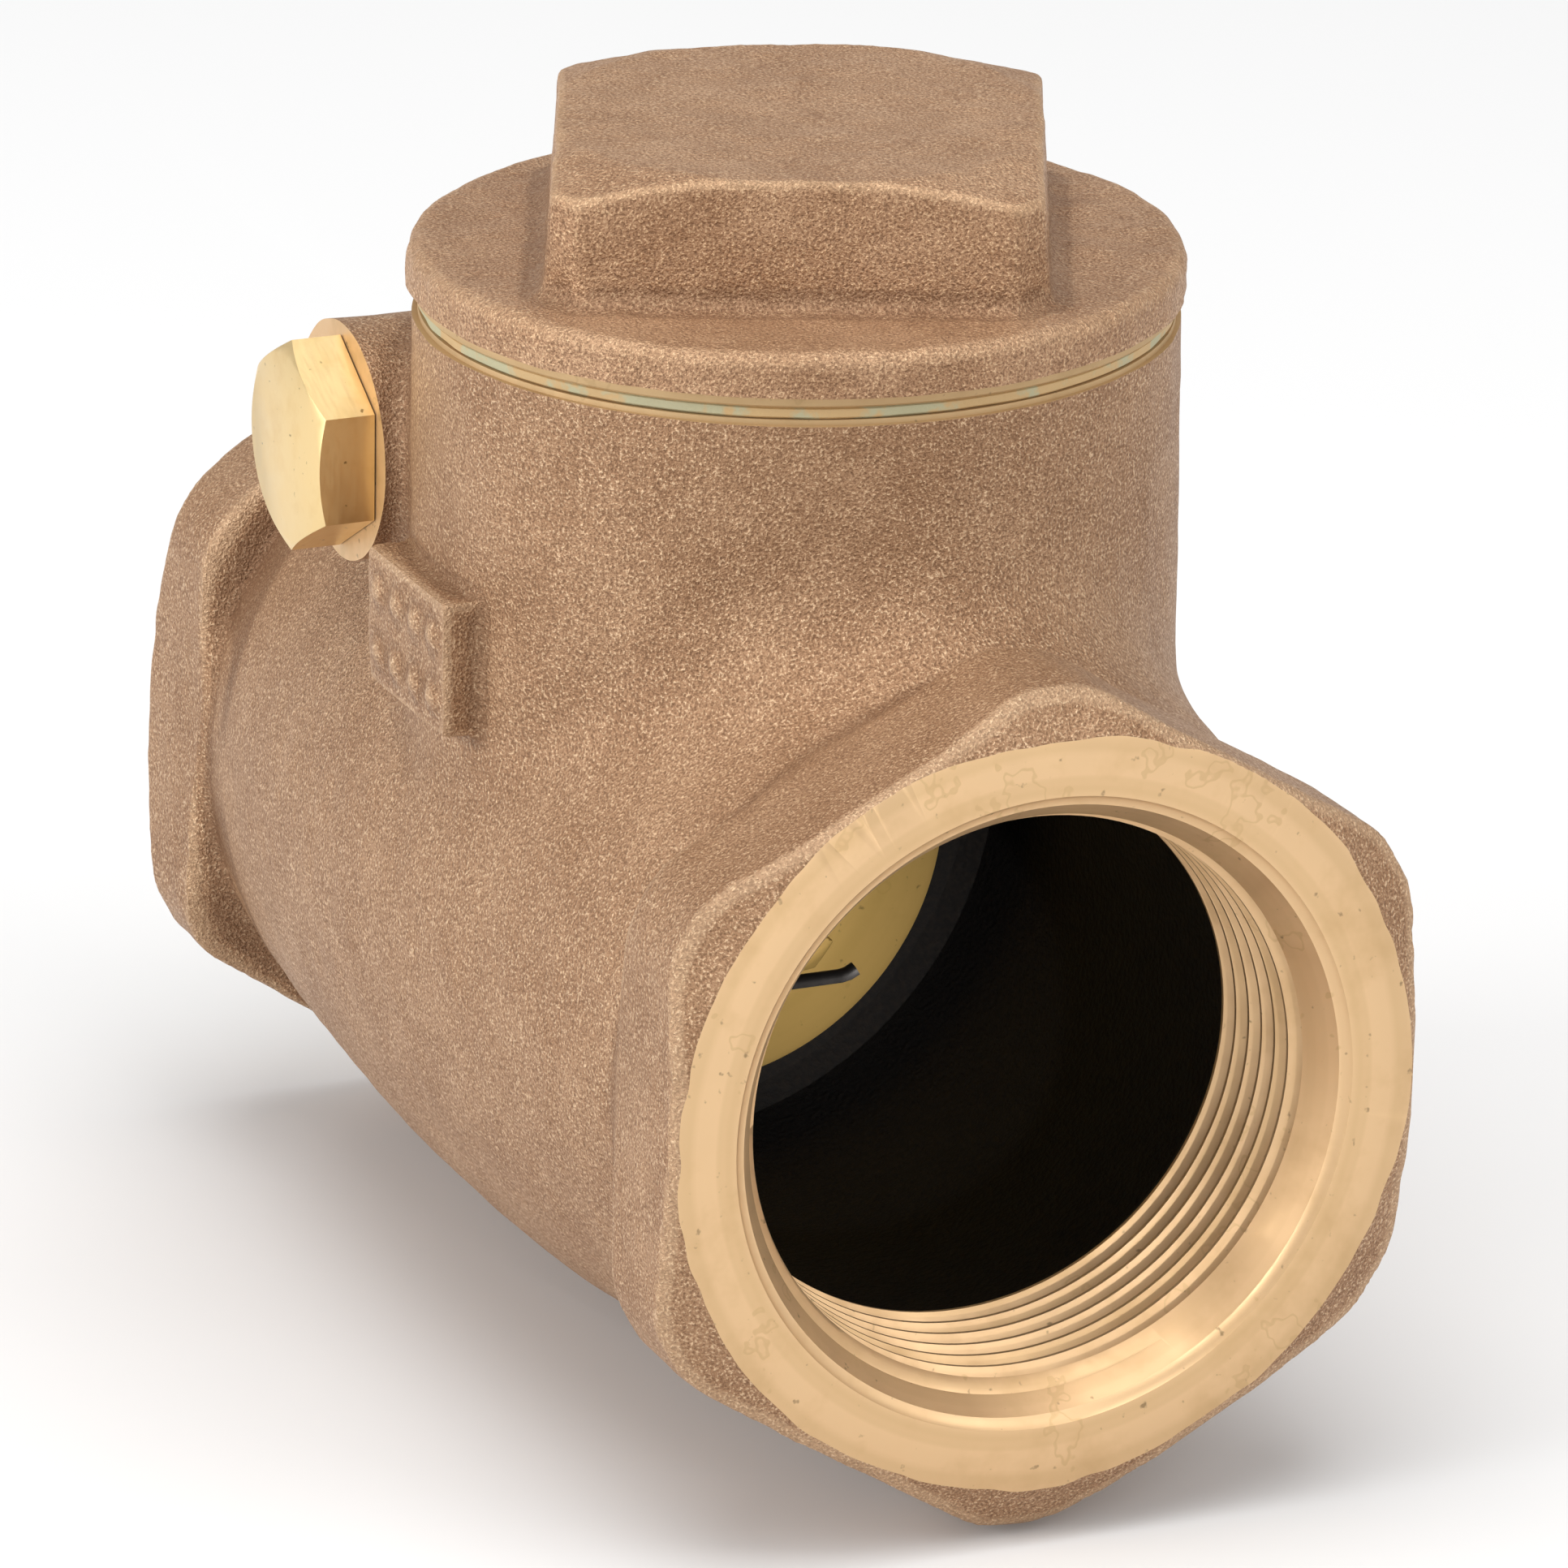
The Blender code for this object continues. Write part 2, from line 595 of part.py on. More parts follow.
def make_castle_nut():
    low = EYE_FRONT_X + WASHER_THICKNESS + 2 * GAP
    high = low + CASTLE_NUT
    centre = (0.0, 0.0, DISC_Z)
    nut = prism("castle_nut", 6, CASTLE_FLATS, low, high, PARTS, AXIS_X, 0.0, centre)
    half = CASTLE_FLATS / 2
    limit = [
        (0.0, high),
        (half, high),
        (half + EXTRA, high - CASTLE_CHAMFER),
        (half + EXTRA, low - EXTRA),
        (0.0, low - EXTRA),
    ]
    boolean(nut, turned("castle_chamfer", limit, CUTTERS, DISC_AXIS, FINE), "INTERSECT")
    hole = bar("castle_hole", STEM_RADIUS + GAP, low - EXTRA, high + EXTRA, CUTTERS, AXIS_X, centre)
    cut(nut, hole)
    for index in range(3):
        slot = box(
            "castle_slot_%d" % index,
            (high - CASTLE_SLOT_DEPTH, -CUTTER_REACH, -CASTLE_SLOT_WIDTH / 2),
            (high + EXTRA, CUTTER_REACH, CASTLE_SLOT_WIDTH / 2),
            CUTTERS)
        slot.location.z = DISC_Z
        slot.rotation_euler = (math.radians(30 + 60 * index), 0.0, 0.0)
        cut(nut, slot)
    return nut


def make_cotter_pin():
    """A split pin down through the nut's slots and the stem, with one leg bent out to +Y below."""
    leg_z = DISC_Z - COTTER_FOOT
    reach, lift = COTTER_TIP
    points = [(COTTER_X, 0.0, DISC_Z + COTTER_TOP), (COTTER_X, 0.0, leg_z + COTTER_BEND)]
    for step in (1, 2, 3):
        angle = math.radians(30 * step)
        out = COTTER_BEND * (1 - math.cos(angle))
        points.append((COTTER_X, out, leg_z + COTTER_BEND * (1 - math.sin(angle))))
    points.append((COTTER_X, COTTER_LEG, leg_z))
    points.append((COTTER_X, reach, leg_z + lift))
    pin = wire("cotter_pin", points, COTTER_RADIUS, PARTS)
    ring = [
        (COTTER_EYE_RADIUS, COTTER_EYE_HALF),
        (COTTER_EYE_RADIUS, -COTTER_EYE_HALF),
        (COTTER_EYE_BORE, -COTTER_EYE_HALF),
        (COTTER_EYE_BORE, COTTER_EYE_HALF),
    ]
    place = Matrix.Translation((COTTER_X, 0.0, DISC_Z + COTTER_EYE_RISE)) @ AXIS_X
    eye = turned("cotter_eye", ring, CUTTERS, place, 12, ring=True)
    join(pin, eye)
    return pin


BRONZE = ("cast_bronze", (0.36, 0.24, 0.15), 0.62, 0.7)
BRASS = ("plug_brass", (0.78, 0.60, 0.30), 0.30, 1.0)
OLIVE_BRASS = ("disc_brass", (0.42, 0.36, 0.16), 0.45, 0.9)
STEEL = ("pin_steel", (0.45, 0.45, 0.44), 0.35, 1.0)
BLACK_STEEL = ("cotter_steel", (0.03, 0.03, 0.03), 0.45, 0.8)
SEALANT = ("joint_sealant", (0.52, 0.55, 0.42), 0.7, 0.0)
POLYMER = ("seat_polymer", (0.85, 0.84, 0.80), 0.5, 0.0)

PIECES = (
    (make_body, BRONZE),
    (make_cap, BRONZE),
    (make_cap_seal, SEALANT),
    (make_hinge_pin, STEEL),
    (make_pin_plug, BRASS),
    (make_disc_hanger, OLIVE_BRASS),
    (make_disc_holder, OLIVE_BRASS),
    (make_seat_disc, POLYMER),
    (make_disc_retainer, OLIVE_BRASS),
    (make_retainer_nut, OLIVE_BRASS),
    (make_stem_washer, OLIVE_BRASS),
    (make_castle_nut, OLIVE_BRASS),
    (make_cotter_pin, BLACK_STEEL),
)

clear_scene()
PARTS = make_collection("swing_check_valve")
CUTTERS = make_collection("cutters")
for make_piece, (finish, colour, roughness, metallic) in PIECES:
    piece = make_piece()
    piece.data.materials.append(make_material(piece.name + "_" + finish, colour, roughness, metallic))
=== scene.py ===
"""Looks of a threaded bronze swing check valve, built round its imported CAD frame.

Shapes are worked out in millimetres in the row frame: +X is the flow direction, +Z points to the cap,
and the hinge pin lies along Y with its plug on the -Y side.
"""

import math
from collections import namedtuple

import bmesh
import bpy
import numpy as np
from mathutils import Matrix, Vector


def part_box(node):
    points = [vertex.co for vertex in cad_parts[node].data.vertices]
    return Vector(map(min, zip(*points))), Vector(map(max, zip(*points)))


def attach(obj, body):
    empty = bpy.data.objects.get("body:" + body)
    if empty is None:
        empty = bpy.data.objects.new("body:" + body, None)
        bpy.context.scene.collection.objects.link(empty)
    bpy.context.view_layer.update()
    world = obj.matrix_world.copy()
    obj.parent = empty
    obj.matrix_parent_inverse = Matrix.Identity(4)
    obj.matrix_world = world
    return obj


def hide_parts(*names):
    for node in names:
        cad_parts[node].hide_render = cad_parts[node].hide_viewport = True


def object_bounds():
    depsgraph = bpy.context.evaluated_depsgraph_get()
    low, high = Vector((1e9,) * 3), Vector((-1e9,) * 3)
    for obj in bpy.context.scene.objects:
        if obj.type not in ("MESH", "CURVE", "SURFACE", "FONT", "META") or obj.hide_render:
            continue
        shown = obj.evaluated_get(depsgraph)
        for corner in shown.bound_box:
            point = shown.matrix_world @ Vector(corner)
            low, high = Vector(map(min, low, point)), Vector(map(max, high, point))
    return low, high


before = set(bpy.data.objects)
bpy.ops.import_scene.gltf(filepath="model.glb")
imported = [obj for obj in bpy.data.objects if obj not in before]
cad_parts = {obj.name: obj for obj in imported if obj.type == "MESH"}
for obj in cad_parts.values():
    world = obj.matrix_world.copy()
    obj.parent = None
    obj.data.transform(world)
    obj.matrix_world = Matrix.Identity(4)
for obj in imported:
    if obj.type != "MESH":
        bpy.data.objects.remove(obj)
cad_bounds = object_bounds()

MM = 0.001
FINISH_SLOTS = 4                # every mesh starts with as many slots, so that cuts keep their finish


def cad_box(node):
    """Lowest and highest corner of a CAD node, in millimetres."""
    low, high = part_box(node)
    return np.array(low) / MM, np.array(high) / MM


BODY_LOW, BODY_HIGH = cad_box("body")
CAP_LOW, CAP_HIGH = cad_box("cap")
PLUG_LOW, PLUG_HIGH = cad_box("pin_plug")
PIN_LOW, PIN_HIGH = cad_box("hinge_pin")
HOLDER_LOW, HOLDER_HIGH = cad_box("disc_holder")
SEAL_HIGH = cad_box("cap_seal")[1]
BARREL_LOW, BARREL_HIGH = cad_box("disc_hanger")

# Casting
INLET_X = BODY_LOW[0]
OUTLET_X = BODY_HIGH[0]
NECK_TOP = BODY_HIGH[2]
NECK_RADIUS = 29.57
BELLY_RADIUS = 33.1
BELLY_MIDDLE = -8.0
BELLY_BEND = 0.0017
FACE_RADIUS = 29.9              # radius of the turned end faces
COLLAR_WIDTH = 12.8
NECK_FILLET = 12.0
NECK_DRAFT = 0.011
PAD_MIDDLE = (-0.8, 25.0)
PAD_HALF = (8.05, 5.55)
PAD_FACE_Y = -32.0
DOT_SPACING = (3.7, 5.0)        # the pad's plain raised dots
DOT_RADIUS = 1.6
DOT_SINK = 1.1
PIN_X = (PIN_LOW[0] + PIN_HIGH[0]) / 2
PIN_Z = (PIN_LOW[2] + PIN_HIGH[2]) / 2
BOSS_RADIUS = 9.5
BOSS_FACE_Y = -29.3
BLIND_BOSS_RADIUS = 8.6
BLIND_BOSS_Y = 24.8
CAST_STEP = 0.6                 # grid of the casting's skin
CAST_LUMPS = ((16.0, 0.16, 5), (5.0, 0.10, 8), (2.0, 0.07, 3))

# A collar's end face, the direction inwards, its width across flats, its turn in degrees and how far out
# its corners reach. Then the slope of its chamfer, the length of its shoulder, how much the shoulder
# wavers, and how far the collar sits below the flow axis.
Collar = namedtuple("Collar", "face inward flats turn corners chamfer shoulder waver drop")
INLET_COLLAR = Collar(INLET_X, 1, 61.75, 2.75, 34.4, 1.19, 1.9, 0.7, 0.4)
OUTLET_COLLAR = Collar(OUTLET_X, -1, 60.96, 1.6, 33.6, 1.82, 3.4, 0.3, 0.25)

# Openings
FACE_BORE = 24.9
THREAD_CREST = 22.26
THREAD_PITCH = 2.209
THREAD_DEPTH = 1.35
THREAD_TAPER = 1 / 32
THREAD_LENGTH = 17.0
COUNTERSINK = 4.0
THREAD_START = 1.1              # depth at which the thread begins to fade in
RELIEF_RADIUS = 23.3
CHAMBER_RADIUS = 28.0
INLET_CAVITY = 25.5
SEAT_X = -23.0
SEAT_BORE = 18.0
SEAT_RADIUS = 20.5
NECK_BORE = 25.2
NECK_UNDERCUT = 27.2
PIN_HOLE = 2.8
PLUG_HOLE = 5.3
SPOT_RADIUS = 10.6
CUT_REACH = 3.0                 # how far a cutter runs past the face that it makes
CAP_THREAD = 25.4
CAP_PITCH = 2.0
CAP_THREAD_DEPTH = 1.0
CAP_THREAD_START = 38.5
NECK_CREST = CAP_THREAD - CAP_THREAD_DEPTH + 0.2

# Swinging parts
BARREL_RADIUS = 4.15
EYE_RADIUS = 7.95
EYE_X = (-16.9, -10.9)
ARM_X = -14.3
ARM_MIDDLE_Z = 12.4
ARM_HALF_LENGTH = 13.2
ARM_HALF_THICKNESS = 2.1
ARM_HALF_WIDTH = 4.4
ARM_KNEE = (-14.9, 24.6)
SLANT_HALF_THICKNESS = 2.3
ARM_STEP = 0.45
ARM_LUMPS = ((5.0, 0.07, 31), (1.8, 0.04, 32))
DISC_BACK_X = -17.5
DISC_PLATE = 3.0
DISC_RIM = 1.9
RIM_BORE = 19.4
STUD_RADIUS = 2.5
STUD_HOLE = 2.8
STEM_RADIUS = 4.0
STEM_HOLE = 4.3
COTTER_X = -4.0
COTTER_HOLE = 1.1
NUT_STEP = 0.22

DISC_Z = (HOLDER_LOW[2] + HOLDER_HIGH[2]) / 2
DISC_AXIS = Matrix.Translation((0.0, 0.0, DISC_Z)) @ Matrix.Rotation(math.radians(90), 4, "Y")
AXIS_X = Matrix.Rotation(math.radians(90), 4, "Y")
AXIS_Y = Matrix.Rotation(math.radians(-90), 4, "X")
AXIS_Z = Matrix.Identity(4)
PIN_AXIS = Matrix.Translation((PIN_X, 0.0, PIN_Z)) @ AXIS_Y


# -------- distance fields

def soft_min(a, b, width):
    """The smaller of two distances, rounded where they meet."""
    blend = np.clip(0.5 + 0.5 * (b - a) / np.maximum(width, 1e-6), 0, 1)
    return b + (a - b) * blend - width * blend * (1 - blend)


def soft_max(a, b, width):
    """The larger of two distances, rounded where they meet."""
    return -soft_min(-a, -b, width)


def smooth_step(value):
    """Runs from 0 to 1 with no kink at either end, and stays there outside."""
    value = np.clip(value, 0, 1)
    return value * value * (3 - 2 * value)


def polygon(a, b, sides, half, turn=0.0, corner=0.0):
    """Distance from a regular polygon with that half width across its flats."""
    distance = np.full(np.shape(a + b), -1e9)
    for side in range(sides):
        angle = turn + 2 * math.pi * side / sides
        distance = soft_max(distance, a * math.cos(angle) + b * math.sin(angle) - half, corner)
    return distance


def slab(value, low, high):
    """Distance from the layer between two parallel planes."""
    return np.abs(value - (low + high) / 2) - (high - low) / 2


def rounded_box(a, b, c, half, radius):
    """Distance from a box about the origin with those half sizes and rounded edges."""
    parts = [np.abs(v) - (h - radius) for v, h in zip((a, b, c), half)]
    outside = np.sqrt(sum(np.maximum(part, 0) ** 2 for part in parts))
    return outside + np.minimum(np.maximum(np.maximum(parts[0], parts[1]), parts[2]), 0) - radius


def lumps(points, size, seed):
    """Smooth seeded noise from -1 to 1 at each point, with features of about that size."""
    table = np.random.default_rng(seed).uniform(-1, 1, (32, 32, 32))
    place = points / size + 100.0
    base = np.floor(place).astype(int)
    part = smooth_step(place - base)
    value = np.zeros(len(points))
    for corner in range(8):
        offset = np.array([corner & 1, corner >> 1 & 1, corner >> 2 & 1])
        weight = np.prod(np.where(offset, part, 1 - part), axis=1)
        i, j, k = ((base + offset) % 32).T
        value += weight * table[i, j, k]
    return value


# -------- meshes

def vertex_points(item):
    """The vertices of a piece, in millimetres."""
    flat = np.empty(len(item.data.vertices) * 3)
    item.data.vertices.foreach_get("co", flat)
    return flat.reshape(-1, 3) / MM


def store_values(item, name, values):
    """Stores one number for each vertex, for a material to read."""
    attribute = item.data.attributes.new(name, "FLOAT", "POINT")
    attribute.data.foreach_set("value", values.astype(np.float32))


def add_object(name, points, faces, turn=AXIS_Z):
    """A mesh from points in millimetres, turned into its place in the row frame."""
    mesh = bpy.data.meshes.new(name)
    mesh.from_pydata((np.asarray(points) * MM).tolist(), [], faces)
    move = turn.copy()
    move.translation *= MM
    mesh.transform(move)
    for _ in range(FINISH_SLOTS):
        mesh.materials.append(None)
    item = bpy.data.objects.new(name, mesh)
    bpy.context.scene.collection.objects.link(item)
    return item


def gradient(field, points, reach=0.05):
    """The slope of a distance field at each point."""
    slopes = []
    for axis in range(3):
        step = np.zeros(3)
        step[axis] = reach
        slopes.append((field(*(points + step).T) - field(*(points - step).T)) / (2 * reach))
    return np.stack(slopes, axis=1)


def skin(name, field, low, high, step, lump_sizes=()):
    """The surface where a distance field is zero, as even quads that are pulled onto it.
    Each lump size is (size, height, seed) of the unevenness that sand casting leaves."""
    axes = [np.arange(low[axis], high[axis] + step, step) for axis in range(3)]
    grid = field(*np.meshgrid(*axes, indexing="ij", sparse=True))
    shape = np.array(grid.shape) - 1
    total = np.zeros((shape.prod(), 3))
    count = np.zeros(shape.prod())
    quads = []
    for axis in range(3):
        start = np.moveaxis(grid, axis, 0)[:-1]
        end = np.moveaxis(grid, axis, 0)[1:]
        order = [axis] + [other for other in range(3) if other != axis]
        found = np.nonzero((start < 0) != (end < 0))
        index = np.zeros((len(found[0]), 3), int)
        for place, other in zip(found, order):
            index[:, other] = place
        first = start[found]
        point = np.stack([axes[other][index[:, other]] for other in range(3)], axis=1)
        point[:, axis] += step * first / (first - end[found])
        across = np.zeros(3, int)
        up = np.zeros(3, int)
        across[(axis + 1) % 3] = 1
        up[(axis + 2) % 3] = 1
        ring = []
        for shift in (across + up, up, across * 0, across):
            cell = np.ravel_multi_index((index - shift).T, shape)
            np.add.at(total, cell, point)
            np.add.at(count, cell, 1)
            ring.append(cell)
        ring = np.stack(ring, axis=1)
        flip = first > 0
        ring[flip] = ring[flip][:, ::-1]
        quads.append(ring)
    used = np.nonzero(count)[0]
    points = total[used] / count[used, None]
    quads = np.searchsorted(used, np.concatenate(quads))
    edges = np.concatenate([quads[:, [0, 1]], quads[:, [1, 2]], quads[:, [2, 3]], quads[:, [3, 0]]])
    near = np.bincount(edges[:, 0], minlength=len(points))[:, None]
    for _ in range(5):
        mean = np.stack([
            np.bincount(edges[:, 0], weights=points[edges[:, 1], axis], minlength=len(points))
            for axis in range(3)], axis=1) / near
        points = points + 0.5 * (mean - points)
        slope = gradient(field, points)
        points -= slope * (field(*points.T) / (slope ** 2).sum(1))[:, None]
    slope = gradient(field, points)
    normal = slope / np.linalg.norm(slope, axis=1)[:, None]
    rest = points.copy()
    for size, height, seed in lump_sizes:
        points += normal * (height * lumps(rest, size, seed))[:, None]
    return add_object(name, points, quads.tolist())


def lathe(name, profile, turn=AXIS_Z, sides=128, ring=False):
    """A closed turned shape about the local Z. The profile holds (height, radius, finish), where finish
    is the material index of the surface that ends at that point."""
    angles = np.arange(sides) * 2 * math.pi / sides
    circle = np.stack([np.cos(angles), np.sin(angles)], axis=1)
    points = []
    rows = []
    for height, radius, _ in profile:
        if radius < 1e-6:
            rows.append([len(points)])
            points.append((0.0, 0.0, height))
        else:
            rows.append(list(range(len(points), len(points) + sides)))
            points.extend((radius * a, radius * b, height) for a, b in circle)
    faces = []
    finishes = []
    pairs = list(zip(rows, rows[1:], profile[1:]))
    if ring:
        pairs.append((rows[-1], rows[0], profile[0]))
    for lower, upper, (_, _, finish) in pairs:
        for side in range(sides):
            after = (side + 1) % sides
            corners = [lower[side % len(lower)], lower[after % len(lower)],
                       upper[after % len(upper)], upper[side % len(upper)]]
            faces.append(list(dict.fromkeys(corners)))
            finishes.append(finish)
    item = add_object(name, points, faces, turn)
    item.data.polygons.foreach_set("material_index", finishes)
    tidy_normals(item)
    return item


def tidy_normals(item):
    """Makes the faces of a closed mesh point outwards."""
    shape = bmesh.new()
    shape.from_mesh(item.data)
    bmesh.ops.recalc_face_normals(shape, faces=shape.faces)
    shape.to_mesh(item.data)
    shape.free()


def thread(name, start, end, pitch, depth_at, crest_at, turn, finish=1, sides=128):
    """A right-hand screw along the local Z. crest_at gives the smaller radius at a height, and depth_at
    how far the thread stands out from it."""
    phases = (0.0, 0.14, 0.50, 0.64)
    heights = (0.0, 0.0, 1.0, 1.0)
    per_turn = len(phases)
    rows = int((end - start) / pitch) * per_turn
    points = []
    for row in range(rows + 1):
        for side in range(sides):
            angle = 2 * math.pi * side / sides
            height = start + pitch * (row // per_turn + phases[row % per_turn] + side / sides)
            radius = crest_at(height) + depth_at(height) * heights[row % per_turn]
            points.append((radius * math.cos(angle), radius * math.sin(angle), height))

    def at(row, side):
        return row * sides + side if side < sides else (row + per_turn) * sides

    faces = []
    for row in range(rows):
        for side in range(sides):
            if side == sides - 1 and row + per_turn + 1 > rows:
                continue
            faces.append([at(row, side), at(row, side + 1), at(row + 1, side + 1), at(row + 1, side)])
    first = [at(0, side) for side in range(sides)] + [at(row, 0) for row in range(per_turn, 0, -1)]
    last = [at(rows, side) for side in range(sides)]
    last += [at(row, sides - 1) for row in range(rows - 1, rows - per_turn - 1, -1)]
    for loop, height in ((first, start), (last, end)):
        middle = len(points)
        points.append((0.0, 0.0, height))
        for here, after in zip(loop, loop[1:] + loop[:1]):
            faces.append([here, after, middle])
    item = add_object(name, points, faces, turn)
    item.data.polygons.foreach_set("material_index", [finish] * len(faces))
    tidy_normals(item)
    return item


def carve(item, cutter, operation="DIFFERENCE"):
    """Applies one Boolean and removes the cutter. Material indices carry over from both."""
    change = item.modifiers.new("carve", "BOOLEAN")
    change.solver = "MANIFOLD"
    change.operation = operation
    change.object = cutter
    graph = bpy.context.evaluated_depsgraph_get()
    mesh = bpy.data.meshes.new_from_object(item.evaluated_get(graph))
    item.modifiers.clear()
    old = item.data
    item.data = mesh
    bpy.data.meshes.remove(old)
    bpy.data.objects.remove(cutter, do_unlink=True)


def finish_piece(item, nodes, body, finishes, crease=35):
    """Gives a piece its materials, shading and place: it stands for the CAD nodes and rides on the body."""
    for spare in range(len(item.data.materials) - 1, len(finishes) - 1, -1):
        item.data.materials.pop(index=spare)
    for index, finish in enumerate(finishes):
        item.data.materials[index] = finish
    item.data.polygons.foreach_set("use_smooth", [True] * len(item.data.polygons))
    item.data.set_sharp_from_angle(angle=math.radians(crease))
    item.data.update()
    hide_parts(*nodes)
    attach(item, body)


# -------- materials

class Nodes:
    """Builds one material: each method adds a node and returns its output socket."""

    def __init__(self, name, colour, roughness, metallic):
        self.material = bpy.data.materials.new(name)
        self.material.use_nodes = True
        self.tree = self.material.node_tree
        self.shader = self.tree.nodes["Principled BSDF"]
        self.shader.inputs["Base Color"].default_value = (*colour, 1.0)
        self.shader.inputs["Roughness"].default_value = roughness
        self.shader.inputs["Metallic"].default_value = metallic
        self.place = self.tree.nodes.new("ShaderNodeTexCoord").outputs["Object"]

    def put(self, socket, value):
        if isinstance(value, bpy.types.NodeSocket):
            self.tree.links.new(value, socket)
        else:
            socket.default_value = value

    def noise(self, size_mm, detail=3.0, vector=None, roughness=0.5):
        node = self.tree.nodes.new("ShaderNodeTexNoise")
        self.put(node.inputs["Vector"], vector or self.place)
        node.inputs["Scale"].default_value = 1 / (size_mm * MM)
        node.inputs["Detail"].default_value = detail
        node.inputs["Roughness"].default_value = roughness
        return node.outputs["Fac"]

    def stretched(self, x, y, z):
        """The object's own place with each direction scaled, for marks that run along one of them."""
        node = self.tree.nodes.new("ShaderNodeMapping")
        self.put(node.inputs["Vector"], self.place)
        node.inputs["Scale"].default_value = (x, y, z)
        return node.outputs["Vector"]

    def round_marks(self, axis, size_mm, offset=(0.0, 0.0)):
        """Fine rings about an axis, as a turning tool leaves them, on faces and bores alike."""
        split = self.tree.nodes.new("ShaderNodeSeparateXYZ")
        self.put(split.inputs[0], self.place)
        across = [socket for index, socket in enumerate(split.outputs) if index != "XYZ".index(axis)]
        centred = [self.math("SUBTRACT", socket, shift) for socket, shift in zip(across, offset)]
        squares = [self.math("MULTIPLY", socket, socket) for socket in centred]
        radius = self.math("SQRT", self.math("ADD", *squares), 0.0)
        join = self.tree.nodes.new("ShaderNodeCombineXYZ")
        self.put(join.inputs[0], radius)
        self.put(join.inputs[1], split.outputs["XYZ".index(axis)])
        return self.noise(size_mm, 2.0, join.outputs[0])

    def math(self, operation, a, b, clamp=False):
        node = self.tree.nodes.new("ShaderNodeMath")
        node.operation = operation
        node.use_clamp = clamp
        self.put(node.inputs[0], a)
        self.put(node.inputs[1], b)
        return node.outputs[0]

    def attribute(self, name):
        node = self.tree.nodes.new("ShaderNodeAttribute")
        node.attribute_name = name
        return node.outputs["Fac"]

    def span(self, value, low, high, to_low=0.0, to_high=1.0):
        """The value from low to high, spread over the new span and held at its ends."""
        node = self.tree.nodes.new("ShaderNodeMapRange")
        self.put(node.inputs["Value"], value)
        node.inputs["From Min"].default_value = low
        node.inputs["From Max"].default_value = high
        node.inputs["To Min"].default_value = to_low
        node.inputs["To Max"].default_value = to_high
        return node.outputs["Result"]

    def blend(self, share, first, second):
        node = self.tree.nodes.new("ShaderNodeMix")
        node.data_type = "RGBA"
        self.put(node.inputs["Factor"], share)
        for socket, colour in ((node.inputs["A"], first), (node.inputs["B"], second)):
            self.put(socket, (*colour, 1.0) if isinstance(colour, tuple) else colour)
        return node.outputs["Result"]

    def colour(self, value):
        self.put(self.shader.inputs["Base Color"], value)

    def roughness(self, value):
        self.put(self.shader.inputs["Roughness"], value)

    def bump(self, *layers):
        """Each layer is (height socket, distance in mm), the coarsest first."""
        normal = None
        for height, distance in layers:
            node = self.tree.nodes.new("ShaderNodeBump")
            node.inputs["Distance"].default_value = distance * MM
            self.put(node.inputs["Height"], height)
            if normal is not None:
                self.put(node.inputs["Normal"], normal)
            normal = node.outputs["Normal"]
        self.put(self.shader.inputs["Normal"], normal)


def cast_bronze(name, light, dark, shadow, edge):
    """Sand-cast skin: coarse grain of real tone with painted glints, mottled brown, painted shade in folds
    and a painted highlight along edges.
    """
    nodes = Nodes(name, light, 0.5, 0.55)
    grain = nodes.noise(0.23, 1.5, roughness=0.6)
    fine = nodes.noise(0.13, 1.0)
    pits = nodes.noise(1.3, 3.0)
    mottle = nodes.noise(8.0, 4.0, roughness=0.6)
    streak = nodes.noise(14.0, 2.0, nodes.stretched(0.5, 1.0, 1.6))
    fold = nodes.attribute("fold")
    base = nodes.blend(nodes.span(mottle, 0.36, 0.66), dark, light)
    base = nodes.blend(nodes.span(streak, 0.50, 0.75, 0.0, 0.35), base, dark)
    base = nodes.blend(nodes.span(grain, 0.50, 0.34, 0.0, 0.60), base, shadow)
    # painted glints: the pale edge colour on the grain's brightest spots
    base = nodes.blend(nodes.span(grain, 0.56, 0.68, 0.0, 0.70), base, edge)
    base = nodes.blend(nodes.span(fine, 0.42, 0.30, 0.0, 0.50), base, shadow)
    # painted shade: the shadow colour in concave folds
    base = nodes.blend(nodes.span(fold, -0.03, -0.30, 0.0, 0.36), base, shadow)
    # painted highlight: the pale edge colour along convex edges
    base = nodes.blend(nodes.span(fold, 0.5, 1.0, 0.0, 0.25), base, edge)
    base = nodes.blend(nodes.span(nodes.attribute("rough_patch"), 0.2, 0.8, 0.0, 0.55), base, shadow)
    nodes.colour(base)
    nodes.roughness(nodes.span(grain, 0.35, 0.65, 0.62, 0.40))
    nodes.bump((pits, 0.14), (grain, 0.20), (fine, 0.05))
    return nodes.material


